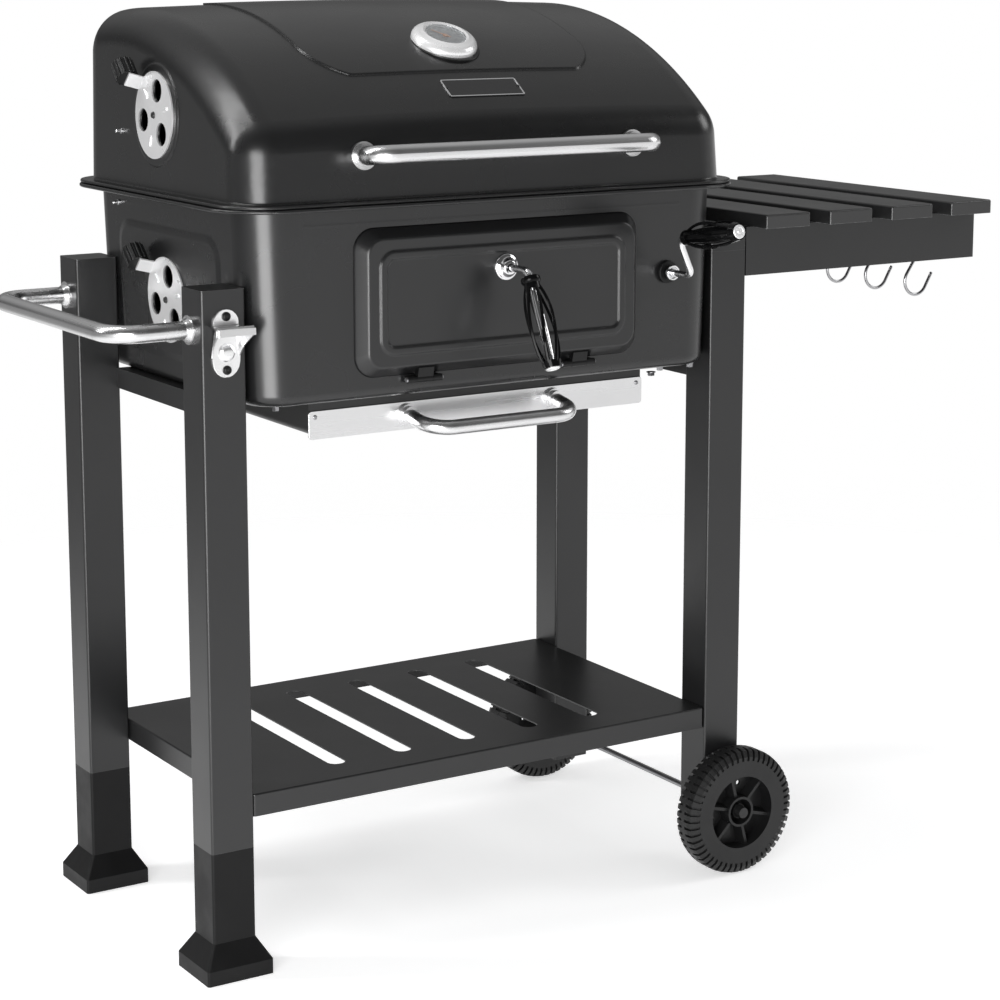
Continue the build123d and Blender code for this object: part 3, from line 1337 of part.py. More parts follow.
with BuildPart() as lid:
    add(dome(0))
    add(rim(lid_hw + lid_rim_overhang, lid_hd + lid_rim_overhang, lid_end_radius + lid_rim_overhang,
            lid_bottom, lid_rim_thickness))
    add(panel.part)
    with BuildSketch(lid_vent_plane):
        Circle(lid_emboss / 2)
    extrude(amount=lid_emboss_rise, taper=30)
    add(dome(sheet), mode=Mode.SUBTRACT)
    with BuildSketch(Plane.XY.offset(lid_bottom)):
        Rectangle(3 * lid_width, 3 * lid_depth)
    extrude(amount=-3, mode=Mode.SUBTRACT)
    with BuildSketch(lid_vent_plane.offset(lid_emboss_rise + 1)):
        vent_holes_at(-vent_hole_angle)
        Circle(vent_rivet / 4)
    extrude(amount=-lid_emboss_rise - sheet - 4, mode=Mode.SUBTRACT)
    with BuildSketch(thermo_plane.offset(2)):
        Circle(thermo_stem_diameter / 2)
    extrude(amount=-12, mode=Mode.SUBTRACT)
save(lid.part, "lid")

lid_disc_plane = lid_vent_plane.offset(lid_emboss_rise)
make_vent(lid_disc_plane, "lid")

front_turn = atan2(front_slope, 1)
handle_y = -lid_hd + (lid_handle_z - lid_bottom) * front_slope
handle_plane = Plane(origin=(0, handle_y, lid_handle_z), x_dir=(1, 0, 0),
                     z_dir=(0, -cos(front_turn), sin(front_turn)))
bar_handle(handle_plane, lid_handle_spread, lid_handle_overrun, lid_handle_reach, 0, lid_handle_bend,
           lid_handle_tube, "lid_handle")

# ================================================================== lid hinges
arm_width = lid_hinge_width - 2 * lid_ear_wall - 1
ear_radius = rear_extent - lid_pin_y
ear_y = fire_hd + flange_overhang + door_gap
ear_z = firebox_top - flange_thickness - door_gap
with BuildPart() as arms:
    for sx in (-1, 1):
        with BuildSketch(Plane.YZ.offset(sx * lid_hinge_spread - arm_width / 2)):
            with BuildLine():
                rim_z = lid_bottom + lid_rim_thickness
                Polyline((lid_hd, lid_strap_top), (lid_hd + lid_strap_wall, lid_strap_top),
                         (lid_hd + lid_strap_wall, rim_z + 9),
                         (lid_pin_y - 1, lid_pin_z + lid_knuckle_radius - 0.2),
                         (lid_pin_y, lid_pin_z), (lid_pin_y - lid_knuckle_radius, lid_pin_z - 0.3),
                         (lid_hd + lid_foot_radius + 1, rim_z + lid_foot_radius + 1),
                         (lid_hd, rim_z + lid_foot_radius + 1), close=True)
            make_face()
            with Locations((lid_pin_y, lid_pin_z)):
                Circle(lid_knuckle_radius)
                Circle(lid_pin_diameter / 2 + hinge_gap, mode=Mode.SUBTRACT)
        extrude(amount=arm_width)
save(arms.part, "lid_hinge_arms")

with BuildPart() as hinge_brackets:
    add(door_brackets.part)
    for sx in (-1, 1):
        for side in (-1, 1):
            start = sx * lid_hinge_spread + side * (lid_hinge_width - lid_ear_wall) / 2 - lid_ear_wall / 2
            with BuildSketch(Plane.YZ.offset(start)):
                with BuildLine():
                    Polyline((fire_hd, ear_z), (ear_y, ear_z), (ear_y, lid_pin_z), (rear_extent, lid_pin_z),
                             (rear_extent, ear_z - lid_ear_wall),
                             (fire_hd + ear_height / 2, ear_z - ear_height),
                             (fire_hd, ear_z - ear_height), close=True)
                make_face()
                with Locations((lid_pin_y, lid_pin_z)):
                    Circle(ear_radius)
                    Circle(lid_pin_diameter / 2, mode=Mode.SUBTRACT)
            extrude(amount=lid_ear_wall)
        with BuildSketch(Plane.XZ.offset(-fire_hd)):
            with Locations((sx * lid_hinge_spread, ear_z)):
                Rectangle(lid_hinge_width, ear_height, align=(Align.CENTER, Align.MAX))
        extrude(amount=-lid_ear_wall)
save(hinge_brackets.part, "hinge_brackets")

with BuildPart() as pins:
    for spread, length, diameter, y, z in (
            (hinge_spread, hinge_length, hinge_pin, hinge_y, hinge_z),
            (lid_hinge_spread, lid_hinge_width, lid_pin_diameter, lid_pin_y, lid_pin_z)):
        for sx in (-1, 1):
            with BuildSketch(Plane.YZ.offset(sx * spread - length / 2)):
                with Locations((y, z)):
                    Circle(diameter / 2)
            extrude(amount=length)
            for side in (-1, 1):
                with BuildSketch(Plane.YZ.offset(sx * spread + side * length / 2)):
                    with Locations((y, z)):
                        Circle(diameter / 2 + 1)
                extrude(amount=side * 1.5, taper=20)
save(pins.part, "hinge_pins")

# ================================================================== thermometer
recess_floor = thermo_height - thermo_recess
with BuildPart() as case:
    with BuildSketch(Plane.XZ):
        with BuildLine():
            outer = thermo_diameter / 2
            inner = thermo_glass / 2
            bezel = outer - inner
            brow = thermo_height * 0.88
            Line((0, -thermo_seat), (outer, -thermo_seat))
            Line((outer, -thermo_seat), (outer, thermo_seat))
            ThreePointArc((outer, thermo_seat), (outer - bezel * 0.2, thermo_height * 0.68),
                          (outer - bezel * 0.53, brow))
            Line((outer - bezel * 0.53, brow), (inner + bezel * 0.2, thermo_height))
            Line((inner + bezel * 0.2, thermo_height), (inner, brow))
            Line((inner, brow), (inner, recess_floor))
            Line((inner, recess_floor), (0, recess_floor))
            Line((0, recess_floor), (0, -thermo_seat))
        make_face()
    revolve(axis=Axis.Z)
case_solid = case.part.moved(Location(thermo_plane))
with BuildPart() as thermo_case:
    add(case_solid)
    add(dome(-panel_rise), mode=Mode.SUBTRACT)
    with BuildSketch(thermo_plane.offset(recess_floor - 1)):
        Circle(thermo_stem_diameter / 2)
    extrude(amount=-thermo_stem - recess_floor)
save(thermo_case.part, "thermometer_case")

with BuildPart() as dial:
    with BuildSketch(thermo_plane.offset(recess_floor)):
        Circle(thermo_glass / 2)
    extrude(amount=dial_thickness)
save(dial.part, "thermometer_dial")

needle_z = recess_floor + dial_thickness
with BuildPart() as needle:
    with BuildSketch(thermo_plane.offset(needle_z)):
        Circle(3)
    extrude(amount=1.6)
    with BuildSketch(thermo_plane.offset(needle_z + 0.8)):
        with Locations(Rotation(0, 0, needle_angle)):
            Polygon((-6, -1.2), (18, -0.4), (18, 0.4), (-6, 1.2), align=None)
    extrude(amount=0.6)
save(needle.part, "thermometer_needle")

with BuildPart() as lens:
    with BuildSketch(thermo_plane.offset(thermo_height - lens_drop - lens_thickness)):
        Circle(thermo_glass / 2)
    extrude(amount=lens_thickness)
save(lens.part, "thermometer_lens")


# ================================================================== fasteners
def domed_head(plane, x, y):
    """A small domed screw head on a plane."""
    with BuildPart(mode=Mode.PRIVATE) as head:
        with BuildSketch(plane):
            with Locations((x, y)):
                Circle(screw_head / 2)
        extrude(amount=screw_height)
        fillet(head.faces().sort_by(lambda f: -(f.center() - plane.origin).dot(plane.z_dir))[0].edges(),
               screw_height * 0.7)
    return head.part


opener_plane = Plane(origin=(opener_x, plate_face, opener_centre_z), x_dir=(1, 0, 0), z_dir=(0, -1, 0))
with BuildPart() as cart_fasteners:
    add(vent_rivet_solid(firebox_disc_plane, end_panel_rise + sheet))
    for z in (-1, 1):
        add(domed_head(opener_plane, 0, z * (opener_height / 2 - 7)))
    for sy in (-1, 1):
        with BuildSketch(Plane.XZ.offset(-sy * half_d)):
            with Locations((leg_x, wheel_z)):
                Circle(axle_diameter)
                Circle(axle_diameter / 2, mode=Mode.SUBTRACT)
        extrude(amount=-sy * (wheel_leg_gap - axle_end_gap))
        with BuildSketch(Plane.XZ.offset(-sy * (hub_end + axle_end_gap))):
            with Locations((leg_x, wheel_z)):
                Circle(axle_nut_diameter / 2)
        extrude(amount=-sy * axle_nut_length, taper=12)
    add(axle.part, mode=Mode.SUBTRACT)
save(cart_fasteners.part, "cart_fasteners")

with BuildPart() as lid_fasteners:
    add(vent_rivet_solid(lid_disc_plane, lid_emboss_rise + sheet))
save(lid_fasteners.part, "lid_fasteners")
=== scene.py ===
from math import asin, atan2, cos, pi, radians, sin

import bmesh
import bpy
from mathutils import Matrix, Vector


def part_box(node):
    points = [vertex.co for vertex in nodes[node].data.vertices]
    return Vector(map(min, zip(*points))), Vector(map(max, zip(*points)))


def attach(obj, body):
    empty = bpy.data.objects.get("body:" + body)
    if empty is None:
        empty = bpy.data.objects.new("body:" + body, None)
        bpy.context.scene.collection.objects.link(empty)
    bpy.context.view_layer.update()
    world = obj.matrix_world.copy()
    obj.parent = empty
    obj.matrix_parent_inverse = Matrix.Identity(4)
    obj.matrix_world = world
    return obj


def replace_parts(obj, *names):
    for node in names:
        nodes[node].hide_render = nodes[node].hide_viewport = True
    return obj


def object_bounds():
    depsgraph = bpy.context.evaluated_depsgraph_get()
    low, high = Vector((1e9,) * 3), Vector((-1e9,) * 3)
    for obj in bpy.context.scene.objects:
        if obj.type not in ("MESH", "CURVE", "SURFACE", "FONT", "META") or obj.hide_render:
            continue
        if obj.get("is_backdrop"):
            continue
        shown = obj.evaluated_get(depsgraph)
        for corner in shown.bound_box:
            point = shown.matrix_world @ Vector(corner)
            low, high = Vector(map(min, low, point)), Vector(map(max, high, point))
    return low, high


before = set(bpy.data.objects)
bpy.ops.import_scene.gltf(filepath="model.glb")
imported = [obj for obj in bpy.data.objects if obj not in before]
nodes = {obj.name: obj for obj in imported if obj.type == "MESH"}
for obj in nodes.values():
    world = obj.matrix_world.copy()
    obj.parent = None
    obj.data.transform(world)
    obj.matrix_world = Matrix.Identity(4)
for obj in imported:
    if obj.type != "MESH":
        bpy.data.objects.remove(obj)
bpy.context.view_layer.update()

# Looks of a charcoal grill trolley: a material for each CAD node, the small trim and fasteners that the
# solids leave out, the camera, and a pale studio. The scene is in metres, and points, profiles and outlines
# of pieces are written in millimetres.

scene = bpy.context.scene
MM = 0.001
RIGHT, REAR, UP = Vector((1, 0, 0)), Vector((0, 1, 0)), Vector((0, 0, 1))
FRONT, DOWN = Vector((0, -1, 0)), Vector((0, 0, -1))


def box(node):
    low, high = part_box(node)
    return Vector(low), Vector(high)


# The middle of the four legs, on the floor: the cart's own centre.
legs_low, legs_high = box("leg_front_left")[0], box("leg_rear_right")[1]
cart_x = (legs_low.x + legs_high.x) / 2
cart_y = (legs_low.y + legs_high.y) / 2


def at(x, y, z):
    """A point given in millimetres about the cart's centre."""
    return Vector((cart_x + x * MM, cart_y + y * MM, z * MM))


# ---------------------------------------------------------------- shader nodes
def link(tree, source, target):
    tree.links.new(source, target)


def new_node(tree, kind, **values):
    made = tree.nodes.new(kind)
    for key, value in values.items():
        setattr(made, key, value)
    return made


def maths(tree, operation, first, second):
    """A Math node; each of its two values is a socket or a number."""
    made = new_node(tree, "ShaderNodeMath", operation=operation)
    for socket, value in zip(made.inputs, (first, second)):
        if isinstance(value, float):
            socket.default_value = value
        else:
            link(tree, value, socket)
    return made.outputs["Value"]


def smooth_step(tree, value, low, high, to_low=0.0, to_high=1.0):
    """Takes low..high to to_low..to_high, eased at both ends."""
    made = new_node(tree, "ShaderNodeMapRange", interpolation_type="SMOOTHSTEP")
    for key, number in (("From Min", low), ("From Max", high), ("To Min", to_low), ("To Max", to_high)):
        made.inputs[key].default_value = number
    link(tree, value, made.inputs["Value"])
    return made.outputs["Result"]


class Surface:
    """A Principled material with colour variation, roughness variation, bump, and worn edges that also carry a
    painted highlight.
    """

    def __init__(self, name, base, roughness, metallic=0.0, specular=0.5):
        self.material = bpy.data.materials.new(name)
        self.material.use_nodes = True
        self.tree = self.material.node_tree
        self.shader = self.tree.nodes["Principled BSDF"]
        self.base = base
        self.roughness = roughness
        self.shader.inputs["Metallic"].default_value = metallic
        self.shader.inputs["Specular IOR Level"].default_value = specular
        self.coords = new_node(self.tree, "ShaderNodeTexCoord").outputs["Object"]
        self.colour = None
        self.bump = None

    def noise(self, scale, detail, rough=0.55, stretch=None):
        """Noise in the object's own space, drawn out along an axis where `stretch` says so."""
        source = self.coords
        if stretch:
            mapping = new_node(self.tree, "ShaderNodeMapping")
            mapping.inputs["Scale"].default_value = stretch
            link(self.tree, source, mapping.inputs["Vector"])
            source = mapping.outputs["Vector"]
        made = new_node(self.tree, "ShaderNodeTexNoise")
        made.inputs["Scale"].default_value = scale
        made.inputs["Detail"].default_value = detail
        made.inputs["Roughness"].default_value = rough
        link(self.tree, source, made.inputs["Vector"])
        return made.outputs["Fac"]

    def mix(self, factor, first, second):
        """A mix of two colours, each a socket or a tuple."""
        first_socket, second_socket, result = 6, 7, 2      # the node's colour sockets have no names of their own
        made = new_node(self.tree, "ShaderNodeMix", data_type="RGBA")
        link(self.tree, factor, made.inputs["Factor"])
        for socket, colour in ((first_socket, first), (second_socket, second)):
            if isinstance(colour, tuple):
                made.inputs[socket].default_value = (*colour, 1.0)
            else:
                link(self.tree, colour, made.inputs[socket])
        return made.outputs[result]

    def vary(self, amount, scale):
        """Soft changes of tone over the surface."""
        factor = smooth_step(self.tree, self.noise(scale, detail=4.0), 0.3, 0.7)
        dark = tuple(c * (1 - amount) for c in self.base)
        light = tuple(c * (1 + amount) for c in self.base)
        self.colour = self.mix(factor, dark, light)
        return self

    def wear_and_edge_highlight(self, colour, radius, amount, scale=140.0):
        """Wear, and a painted highlight: a brighter line along the edges."""
        bevel = new_node(self.tree, "ShaderNodeBevel", samples=6)
        bevel.inputs["Radius"].default_value = radius
        flat = new_node(self.tree, "ShaderNodeNewGeometry").outputs["Normal"]
        dot = new_node(self.tree, "ShaderNodeVectorMath", operation="DOT_PRODUCT")
        link(self.tree, bevel.outputs["Normal"], dot.inputs[0])
        link(self.tree, flat, dot.inputs[1])
        # The mask marks the rounded edges; the lighter colour there is partly wear and partly a painted
        # highlight.
        edge = smooth_step(self.tree, dot.outputs["Value"], 0.995, 0.8, 0.0, amount)
        patchy = smooth_step(self.tree, self.noise(scale, detail=5.0), 0.35, 0.62, 0.35, 1.0)
        self.colour = self.mix(maths(self.tree, "MULTIPLY", edge, patchy), self.colour, colour)
        return self

    def dust(self, colour, amount):
        """A thin film on what faces up."""
        flat = new_node(self.tree, "ShaderNodeNewGeometry").outputs["Normal"]
        split = new_node(self.tree, "ShaderNodeSeparateXYZ")
        link(self.tree, flat, split.inputs[0])
        up = smooth_step(self.tree, split.outputs["Z"], 0.55, 1.0, 0.0, amount)
        patchy = smooth_step(self.tree, self.noise(22.0, detail=6.0, rough=0.7), 0.35, 0.75, 0.2, 1.0)
        self.colour = self.mix(maths(self.tree, "MULTIPLY", up, patchy), self.colour, colour)
        return self

    def rough(self, amount, scale, stretch=None):
        """Smears: the roughness moves about its base value."""
        factor = self.noise(scale, detail=4.0, stretch=stretch)
        value = smooth_step(self.tree, factor, 0.3, 0.7, self.roughness - amount, self.roughness + amount)
        link(self.tree, value, self.shader.inputs["Roughness"])
        return self

    def grain(self, scale, strength, distance, stretch=None, detail=2.0):
        """Fine bump, on top of any that is there already."""
        made = new_node(self.tree, "ShaderNodeBump")
        made.inputs["Strength"].default_value = strength
        made.inputs["Distance"].default_value = distance
        link(self.tree, self.noise(scale, detail=detail, stretch=stretch), made.inputs["Height"])
        if self.bump:
            link(self.tree, self.bump, made.inputs["Normal"])
        self.bump = made.outputs["Normal"]
        return self

    def soften(self, radius):
        """Shades the edges as if they were drawn to this radius; it comes before any grain."""
        bevel = new_node(self.tree, "ShaderNodeBevel", samples=8)
        bevel.inputs["Radius"].default_value = radius
        self.bump = bevel.outputs["Normal"]
        return self

    def done(self):
        if self.colour:
            link(self.tree, self.colour, self.shader.inputs["Base Color"])
        if self.bump:
            link(self.tree, self.bump, self.shader.inputs["Normal"])
        return self.material


# ---------------------------------------------------------------- materials
DUST, DUST_AMOUNT = (0.05, 0.049, 0.048), 0.06
BLACK = (0.0085, 0.0086, 0.009)


def lighter(base, factor):
    return tuple(min(1.0, c * factor) for c in base)


def paint(name, base, roughness=0.34, edge=0.3, edge_wear_and_highlight_level=0.04, specular=0.6, softened=0.0):
    """Satin powder coat: very fine orange peel, a little tone, paler along the edges, partly from wear and partly
    a painted highlight.
    """
    made = Surface(name, base, roughness, specular=specular).vary(0.12, 4.0)
    if softened:
        made.soften(softened)
    # Paler edges: wear, and a painted highlight.
    made.wear_and_edge_highlight((edge_wear_and_highlight_level, edge_wear_and_highlight_level, edge_wear_and_highlight_level * 1.02), 0.0009, edge)
    made.dust(DUST, DUST_AMOUNT)
    return made.rough(0.02, 9.0).grain(1900.0, 0.05, 0.0002).grain(120.0, 0.012, 0.0005).done()


def steel(name, base, roughness, stretch):
    """Satin stainless with fine brushing along one axis."""
    made = Surface(name, base, roughness, metallic=1.0).vary(0.03, 5.0)
    # The lighter edges are a painted highlight.
    made.wear_and_edge_highlight(lighter(base, 1.2), 0.0005, 0.3).rough(0.03, 60.0, stretch=stretch)
    return made.grain(700.0, 0.03, 0.0001, stretch=stretch, detail=3.0).done()


def polished(name, base, roughness, metallic=1.0, grain=0.012):
    """Polished or plated metal, with faint smears."""
    made = Surface(name, base, roughness, metallic=metallic).vary(0.04, 12.0)
    # The lighter edges are a painted highlight.
    made.wear_and_edge_highlight(lighter(base, 1.15), 0.0004, 0.3)
    return made.rough(0.03, 35.0).grain(500.0, grain, 0.0002).done()


def plastic(name, base, roughness, strength=0.1, edge_scuff_and_highlight=0.3, specular=0.45):
    """Moulded plastic: fine texture, and pale edges that are partly scuffs and partly a painted highlight."""
    made = Surface(name, base, roughness, specular=specular).vary(0.14, 10.0)
    made.wear_and_edge_highlight(tuple(c * 2.6 + 0.012 for c in base), 0.0010, edge_scuff_and_highlight, scale=90.0)
    made.dust(DUST, DUST_AMOUNT)
    return made.rough(0.05, 26.0).grain(1300.0, strength, 0.0003).done()


def flat_print(name, base, roughness=0.5):
    made = Surface(name, base, roughness).vary(0.06, 60.0)
    return made.rough(0.05, 80.0).grain(900.0, 0.05, 0.0002).done()


def clear_glass(name, base, roughness):
    made = Surface(name, base, roughness)
    made.shader.inputs["Transmission Weight"].default_value = 1.0
    made.shader.inputs["IOR"].default_value = 1.45
    return made.vary(0.01, 20.0).rough(0.015, 40.0).done()


# The pale edges on these paints are wear with a painted highlight; on the slats they are mostly the painted
# highlight.
paint_main = paint("satin_black_paint", BLACK, edge=0.6, edge_wear_and_highlight_level=0.10)
paint_lid = paint("satin_black_lid", (0.0068, 0.0069, 0.0072), roughness=0.28, softened=0.004)
paint_door = paint("satin_black_door", BLACK, roughness=0.30, softened=0.0035)
paint_firebox = paint("satin_black_firebox", BLACK, roughness=0.28, softened=0.0035)
paint_slat = paint("satin_black_slats", (0.012, 0.0121, 0.0125), roughness=0.36, edge=0.9, edge_wear_and_highlight_level=0.32,
                   specular=0.78)
paint_inner = paint("black_bracket_paint", (0.006, 0.006, 0.0062), roughness=0.42)
foot_plastic = plastic("foot_plastic", (0.003, 0.003, 0.0032), 0.50, edge_scuff_and_highlight=0.2, specular=0.25)
wheel_plastic = plastic("wheel_plastic", (0.007, 0.007, 0.0073), 0.40)
tyre_plastic = plastic("tyre_plastic", (0.009, 0.009, 0.0092), 0.46, strength=0.14, edge_scuff_and_highlight=0.5)
knob_plastic = plastic("knob_plastic", (0.004, 0.004, 0.0042), 0.42, strength=0.05, edge_scuff_and_highlight=0.2, specular=0.3)
steel_x = steel("stainless_brushed_x", (0.74, 0.74, 0.745), 0.27, (0.03, 1.0, 1.0))
steel_y = steel("stainless_brushed_y", (0.72, 0.72, 0.725), 0.26, (1.0, 0.03, 1.0))
disc_steel = polished("stamped_disc_steel", (0.80, 0.80, 0.805), 0.30, metallic=0.6)
chrome = polished("polished_chrome", (0.80, 0.80, 0.81), 0.13)
wire_steel = polished("plated_wire", (0.42, 0.42, 0.43), 0.24)
zinc = polished("zinc_plate", (0.34, 0.34, 0.35), 0.34)
opener_steel = polished("pressed_steel", (0.84, 0.84, 0.845), 0.24, metallic=0.85)
# A near-white base at half metallic paints a bright sheen that the metal's reflection alone would not give.
bezel_with_painted_sheen = polished("bezel_painted_sheen", (0.93, 0.93, 0.935), 0.26, metallic=0.45, grain=0.003)
grip_paint = plastic("gloss_black_grip", (0.003, 0.003, 0.0032), 0.12, strength=0.01, edge_scuff_and_highlight=0.1, specular=0.14)
glass = clear_glass("thermometer_glass", (0.96, 0.98, 0.99), 0.03)
dial_print = flat_print("dial_grey", (0.15, 0.15, 0.153))
dial_ink = flat_print("dial_marks", (0.52, 0.52, 0.53))
needle_ink = flat_print("needle_orange", (0.42, 0.17, 0.07), 0.4)
badge_paint = paint("badge_black", (0.010, 0.010, 0.0105), roughness=0.25, edge=0.0)

node_materials = {
    paint_main: ("leg_front_left leg_rear_left leg_front_right leg_rear_right bottom_shelf cross_rail_left "
                 "cross_rail_right table_rail_front table_rail_rear table_rail_end"),
    paint_lid: "lid",
    paint_door: "door",
    paint_firebox: "firebox",
    paint_slat: "table_slat_1 table_slat_2 table_slat_3 table_slat_4",
    paint_inner: ("lid_hinge_arms lift_guides drawer_runners charcoal_tray "
                  "charcoal_grate lift_rack ash_tray lid_fasteners cart_fasteners"),
    foot_plastic: "foot_front_left foot_rear_left",
    wheel_plastic: "wheel_front_rim wheel_rear_rim",
    tyre_plastic: "wheel_front_tyre wheel_rear_tyre",
    steel_x: "lid_handle drawer_handle drawer_front",
    steel_y: "push_handle",
    disc_steel: "firebox_vent_disc lid_vent_disc",
    chrome: "bottle_opener latch_rod crank_rod door_handle_rosette",
    bezel_with_painted_sheen: "thermometer_case",
    wire_steel: "hook_1 hook_2 hook_3 cooking_grates",
    zinc: "axle hinge_pins hook_bar",
    grip_paint: "latch_grip crank_grip",
    knob_plastic: "firebox_vent_knob lid_vent_knob crank_bushing hinge_brackets door_hinge_straps",
    dial_print: "thermometer_dial",
    needle_ink: "thermometer_needle",
    glass: "thermometer_lens",
}
for material, names in node_materials.items():
    for name in names.split():
        mesh = nodes[name].data
        mesh.materials.clear()
        mesh.materials.append(material)


# ---------------------------------------------------------------- places
def frame_on(point, normal, along=RIGHT):
    """A matrix with its origin at `point` and Z along `normal`."""
    z = Vector(normal).normalized()
    x = (along - z * along.dot(z)).normalized()
    y = z.cross(x)
    return Matrix.Translation(point) @ Matrix((x, y, z)).transposed().to_4x4()


def shifted(place, x, y, z):
    """`place` moved along its own axes."""
    return place @ Matrix.Translation(Vector((x * MM, y * MM, z * MM)))


def polar(radius, angle, height=0.0):
    """A point about the local Z axis."""
    return Vector((radius * MM * cos(angle), radius * MM * sin(angle), height * MM))


def rear_of(node):
    """A place in the middle of a node's rear face, with Z to the front."""
    low, high = box(node)
    return frame_on(Vector(((low.x + high.x) / 2, high.y, (low.z + high.z) / 2)), FRONT)


def surface_point(node, origin, direction):
    """Where a ray from outside meets a CAD node, and the surface's normal there."""
    hit, point, normal, _ = nodes[node].ray_cast(origin, Vector(direction).normalized())
    if not hit:
        raise RuntimeError(f"no surface of {node} there")
    return point, normal


# ---------------------------------------------------------------- outlines
def rounded(width, height, radius):
    """The points of a rounded rectangle."""
    steps = 6
    points = []
    for k, (sx, sy) in enumerate(((1, 1), (-1, 1), (-1, -1), (1, -1))):
        for i in range(steps + 1):
            a = pi / 2 * (k + i / steps)
            points.append((sx * (width / 2 - radius) + radius * cos(a),
                           sy * (height / 2 - radius) + radius * sin(a)))
    return points


def ribbed(radius, ribs, depth):
    """The points of a circle with square ribs."""
    count = ribs * 4
    points = []
    for i in range(count):
        r = radius + (depth if i % 4 in (1, 2) else 0.0)
        points.append((r * cos(2 * pi * i / count), r * sin(2 * pi * i / count)))
    return points


# ---------------------------------------------------------------- meshes
def skin(into, rings):
    """Faces between rings of vertices, in turn; a ring of one vertex is a pole."""
    for a, b in zip(rings, rings[1:]):
        count = max(len(a), len(b))
        for i in range(count):
            j = (i + 1) % count
            corners = list(dict.fromkeys((a[i % len(a)], a[j % len(a)], b[j % len(b)], b[i % len(b)])))
            if len(corners) > 2:
                into.faces.new(corners)


def closed(into, rings):
    """Skins the rings and closes both ends."""
    skin(into, rings)
    into.faces.new(rings[0])
    into.faces.new(rings[-1])


def stack(into, loops, place):
    """Rings of vertices for a stack of (points, height) loops."""
    return [[into.verts.new(place @ Vector((x * MM, y * MM, z * MM))) for x, y in points]
            for points, z in loops]


def capped(into, loops, place):
    """A solid through a stack of (points, height) loops with the same count."""
    closed(into, stack(into, loops, place))


def lathe(into, profile, place, segments=40):
    """The turned form of (radius, height) pairs."""
    rings = []
    for radius, height in profile:
        angles = [2 * pi * i / segments for i in range(segments if radius else 1)]
        rings.append([into.verts.new(place @ polar(radius, a, height)) for a in angles])
    skin(into, rings)


def tube(into, points, radius, segments=16):
    """A round wire along a list of points in metres, with domed ends."""
    places = []
    for i, point in enumerate(points):
        way = (points[min(i + 1, len(points) - 1)] - points[max(i - 1, 0)]).normalized()
        places.append(frame_on(point, way, REAR if abs(way.y) < 0.9 else RIGHT))
    ends = ((0.3, 0.9), (0.45, 0.7))      # how far past the end, and how thick, in radii
    sections = [(shifted(places[0], 0, 0, -past * radius), radius * size) for past, size in reversed(ends)]
    sections += [(place, radius) for place in places]
    sections += [(shifted(places[-1], 0, 0, past * radius), radius * size) for past, size in ends]
    closed(into, [[into.verts.new(place @ polar(r, 2 * pi * j / segments)) for j in range(segments)]
                  for place, r in sections])


def sheet(into, place, corners, thick):
    """A flat plate over `corners`, in the place's own axes, thickened to one side."""
    a, b, c = (Vector(q) for q in corners[:3])
    back = (b - a).cross(c - a).normalized() * -thick
    closed(into, [[into.verts.new(place @ ((Vector(q) + offset) * MM)) for q in corners]
                  for offset in (Vector(), back)])


def screw_head(into, place, radius, height):
    """A pan head with a recess."""
    lathe(into, [(radius, 0), (radius, height * 0.35), (radius * 0.86, height * 0.75), (radius * 0.55, height),
                 (radius * 0.5, height), (0, height * 0.55)], place, 24)


def hex_head(into, place, across, height):
    """A hexagon head with a chamfered top, on a round washer."""
    washer, chamfer = 0.9, 0.5
    lathe(into, [(0, 0), (across * 0.72, 0), (across * 0.72, washer), (across * 0.5, washer)], place, 28)
    r = across / 2 / cos(pi / 6)
    hexagon = [(r * cos(pi / 3 * i), r * sin(pi / 3 * i)) for i in range(6)]
    small = [(x * 0.88, y * 0.88) for x, y in hexagon]
    capped(into, [(hexagon, washer), (hexagon, height - chamfer), (small, height)], place)


def add_object(name, mesh, body):
    """An object of the part that rides on `body`."""
    made = bpy.data.objects.new(name, mesh)
    scene.collection.objects.link(made)
    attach(made, body)
    return made


def piece(name, mesh_data, body, material, sharp=35.0):
    """Makes a piece of the object from a bmesh."""
    bmesh.ops.recalc_face_normals(mesh_data, faces=mesh_data.faces)
    mesh = bpy.data.meshes.new(name)
    mesh_data.to_mesh(mesh)
    mesh_data.free()
    mesh.materials.append(material)
    mesh.shade_smooth()
    mesh.set_sharp_from_angle(angle=radians(sharp))
    return add_object(name, mesh, body)


# ---------------------------------------------------------------- name-plate, left bare
PLATE_WIDTH, PLATE_HEIGHT, PLATE_FACE = 100, 31, 0.7
BORDER_LOW, BORDER_HIGH = 0.6, 1.0
RIVET, RIVET_ASIDE = [(2.1, -0.3), (2.0, 0.5), (1.3, 1.0), (0, 1.2)], 47.0


def plate_outline(inset, radius):
    return rounded(PLATE_WIDTH - inset, PLATE_HEIGHT - inset, radius)


point, normal = surface_point("lid", at(5, -166, 1250), DOWN)
plate_place = frame_on(point, normal)
plate, bevelled = plate_outline(0, 2.5), plate_outline(0.6, 2.2)
mesh_data = bmesh.new()
capped(mesh_data, [(plate, -1.2), (plate, 0.4), (bevelled, PLATE_FACE)], plate_place)
piece("badge_plate", mesh_data, "lid", badge_paint)

outer, inner = plate_outline(1.0, 2.2), plate_outline(3.8, 1.2)
mesh_data = bmesh.new()
rings = stack(mesh_data, [(inner, BORDER_LOW), (inner, BORDER_HIGH), (outer, BORDER_HIGH), (outer, BORDER_LOW)],
              plate_place)
skin(mesh_data, rings + rings[:1])
piece("badge_border", mesh_data, "lid", chrome)

mesh_data = bmesh.new()
for x in (-RIVET_ASIDE, RIVET_ASIDE):
    lathe(mesh_data, RIVET, shifted(plate_place, x, 0, PLATE_FACE), 20)
piece("badge_rivets", mesh_data, "lid", badge_paint)

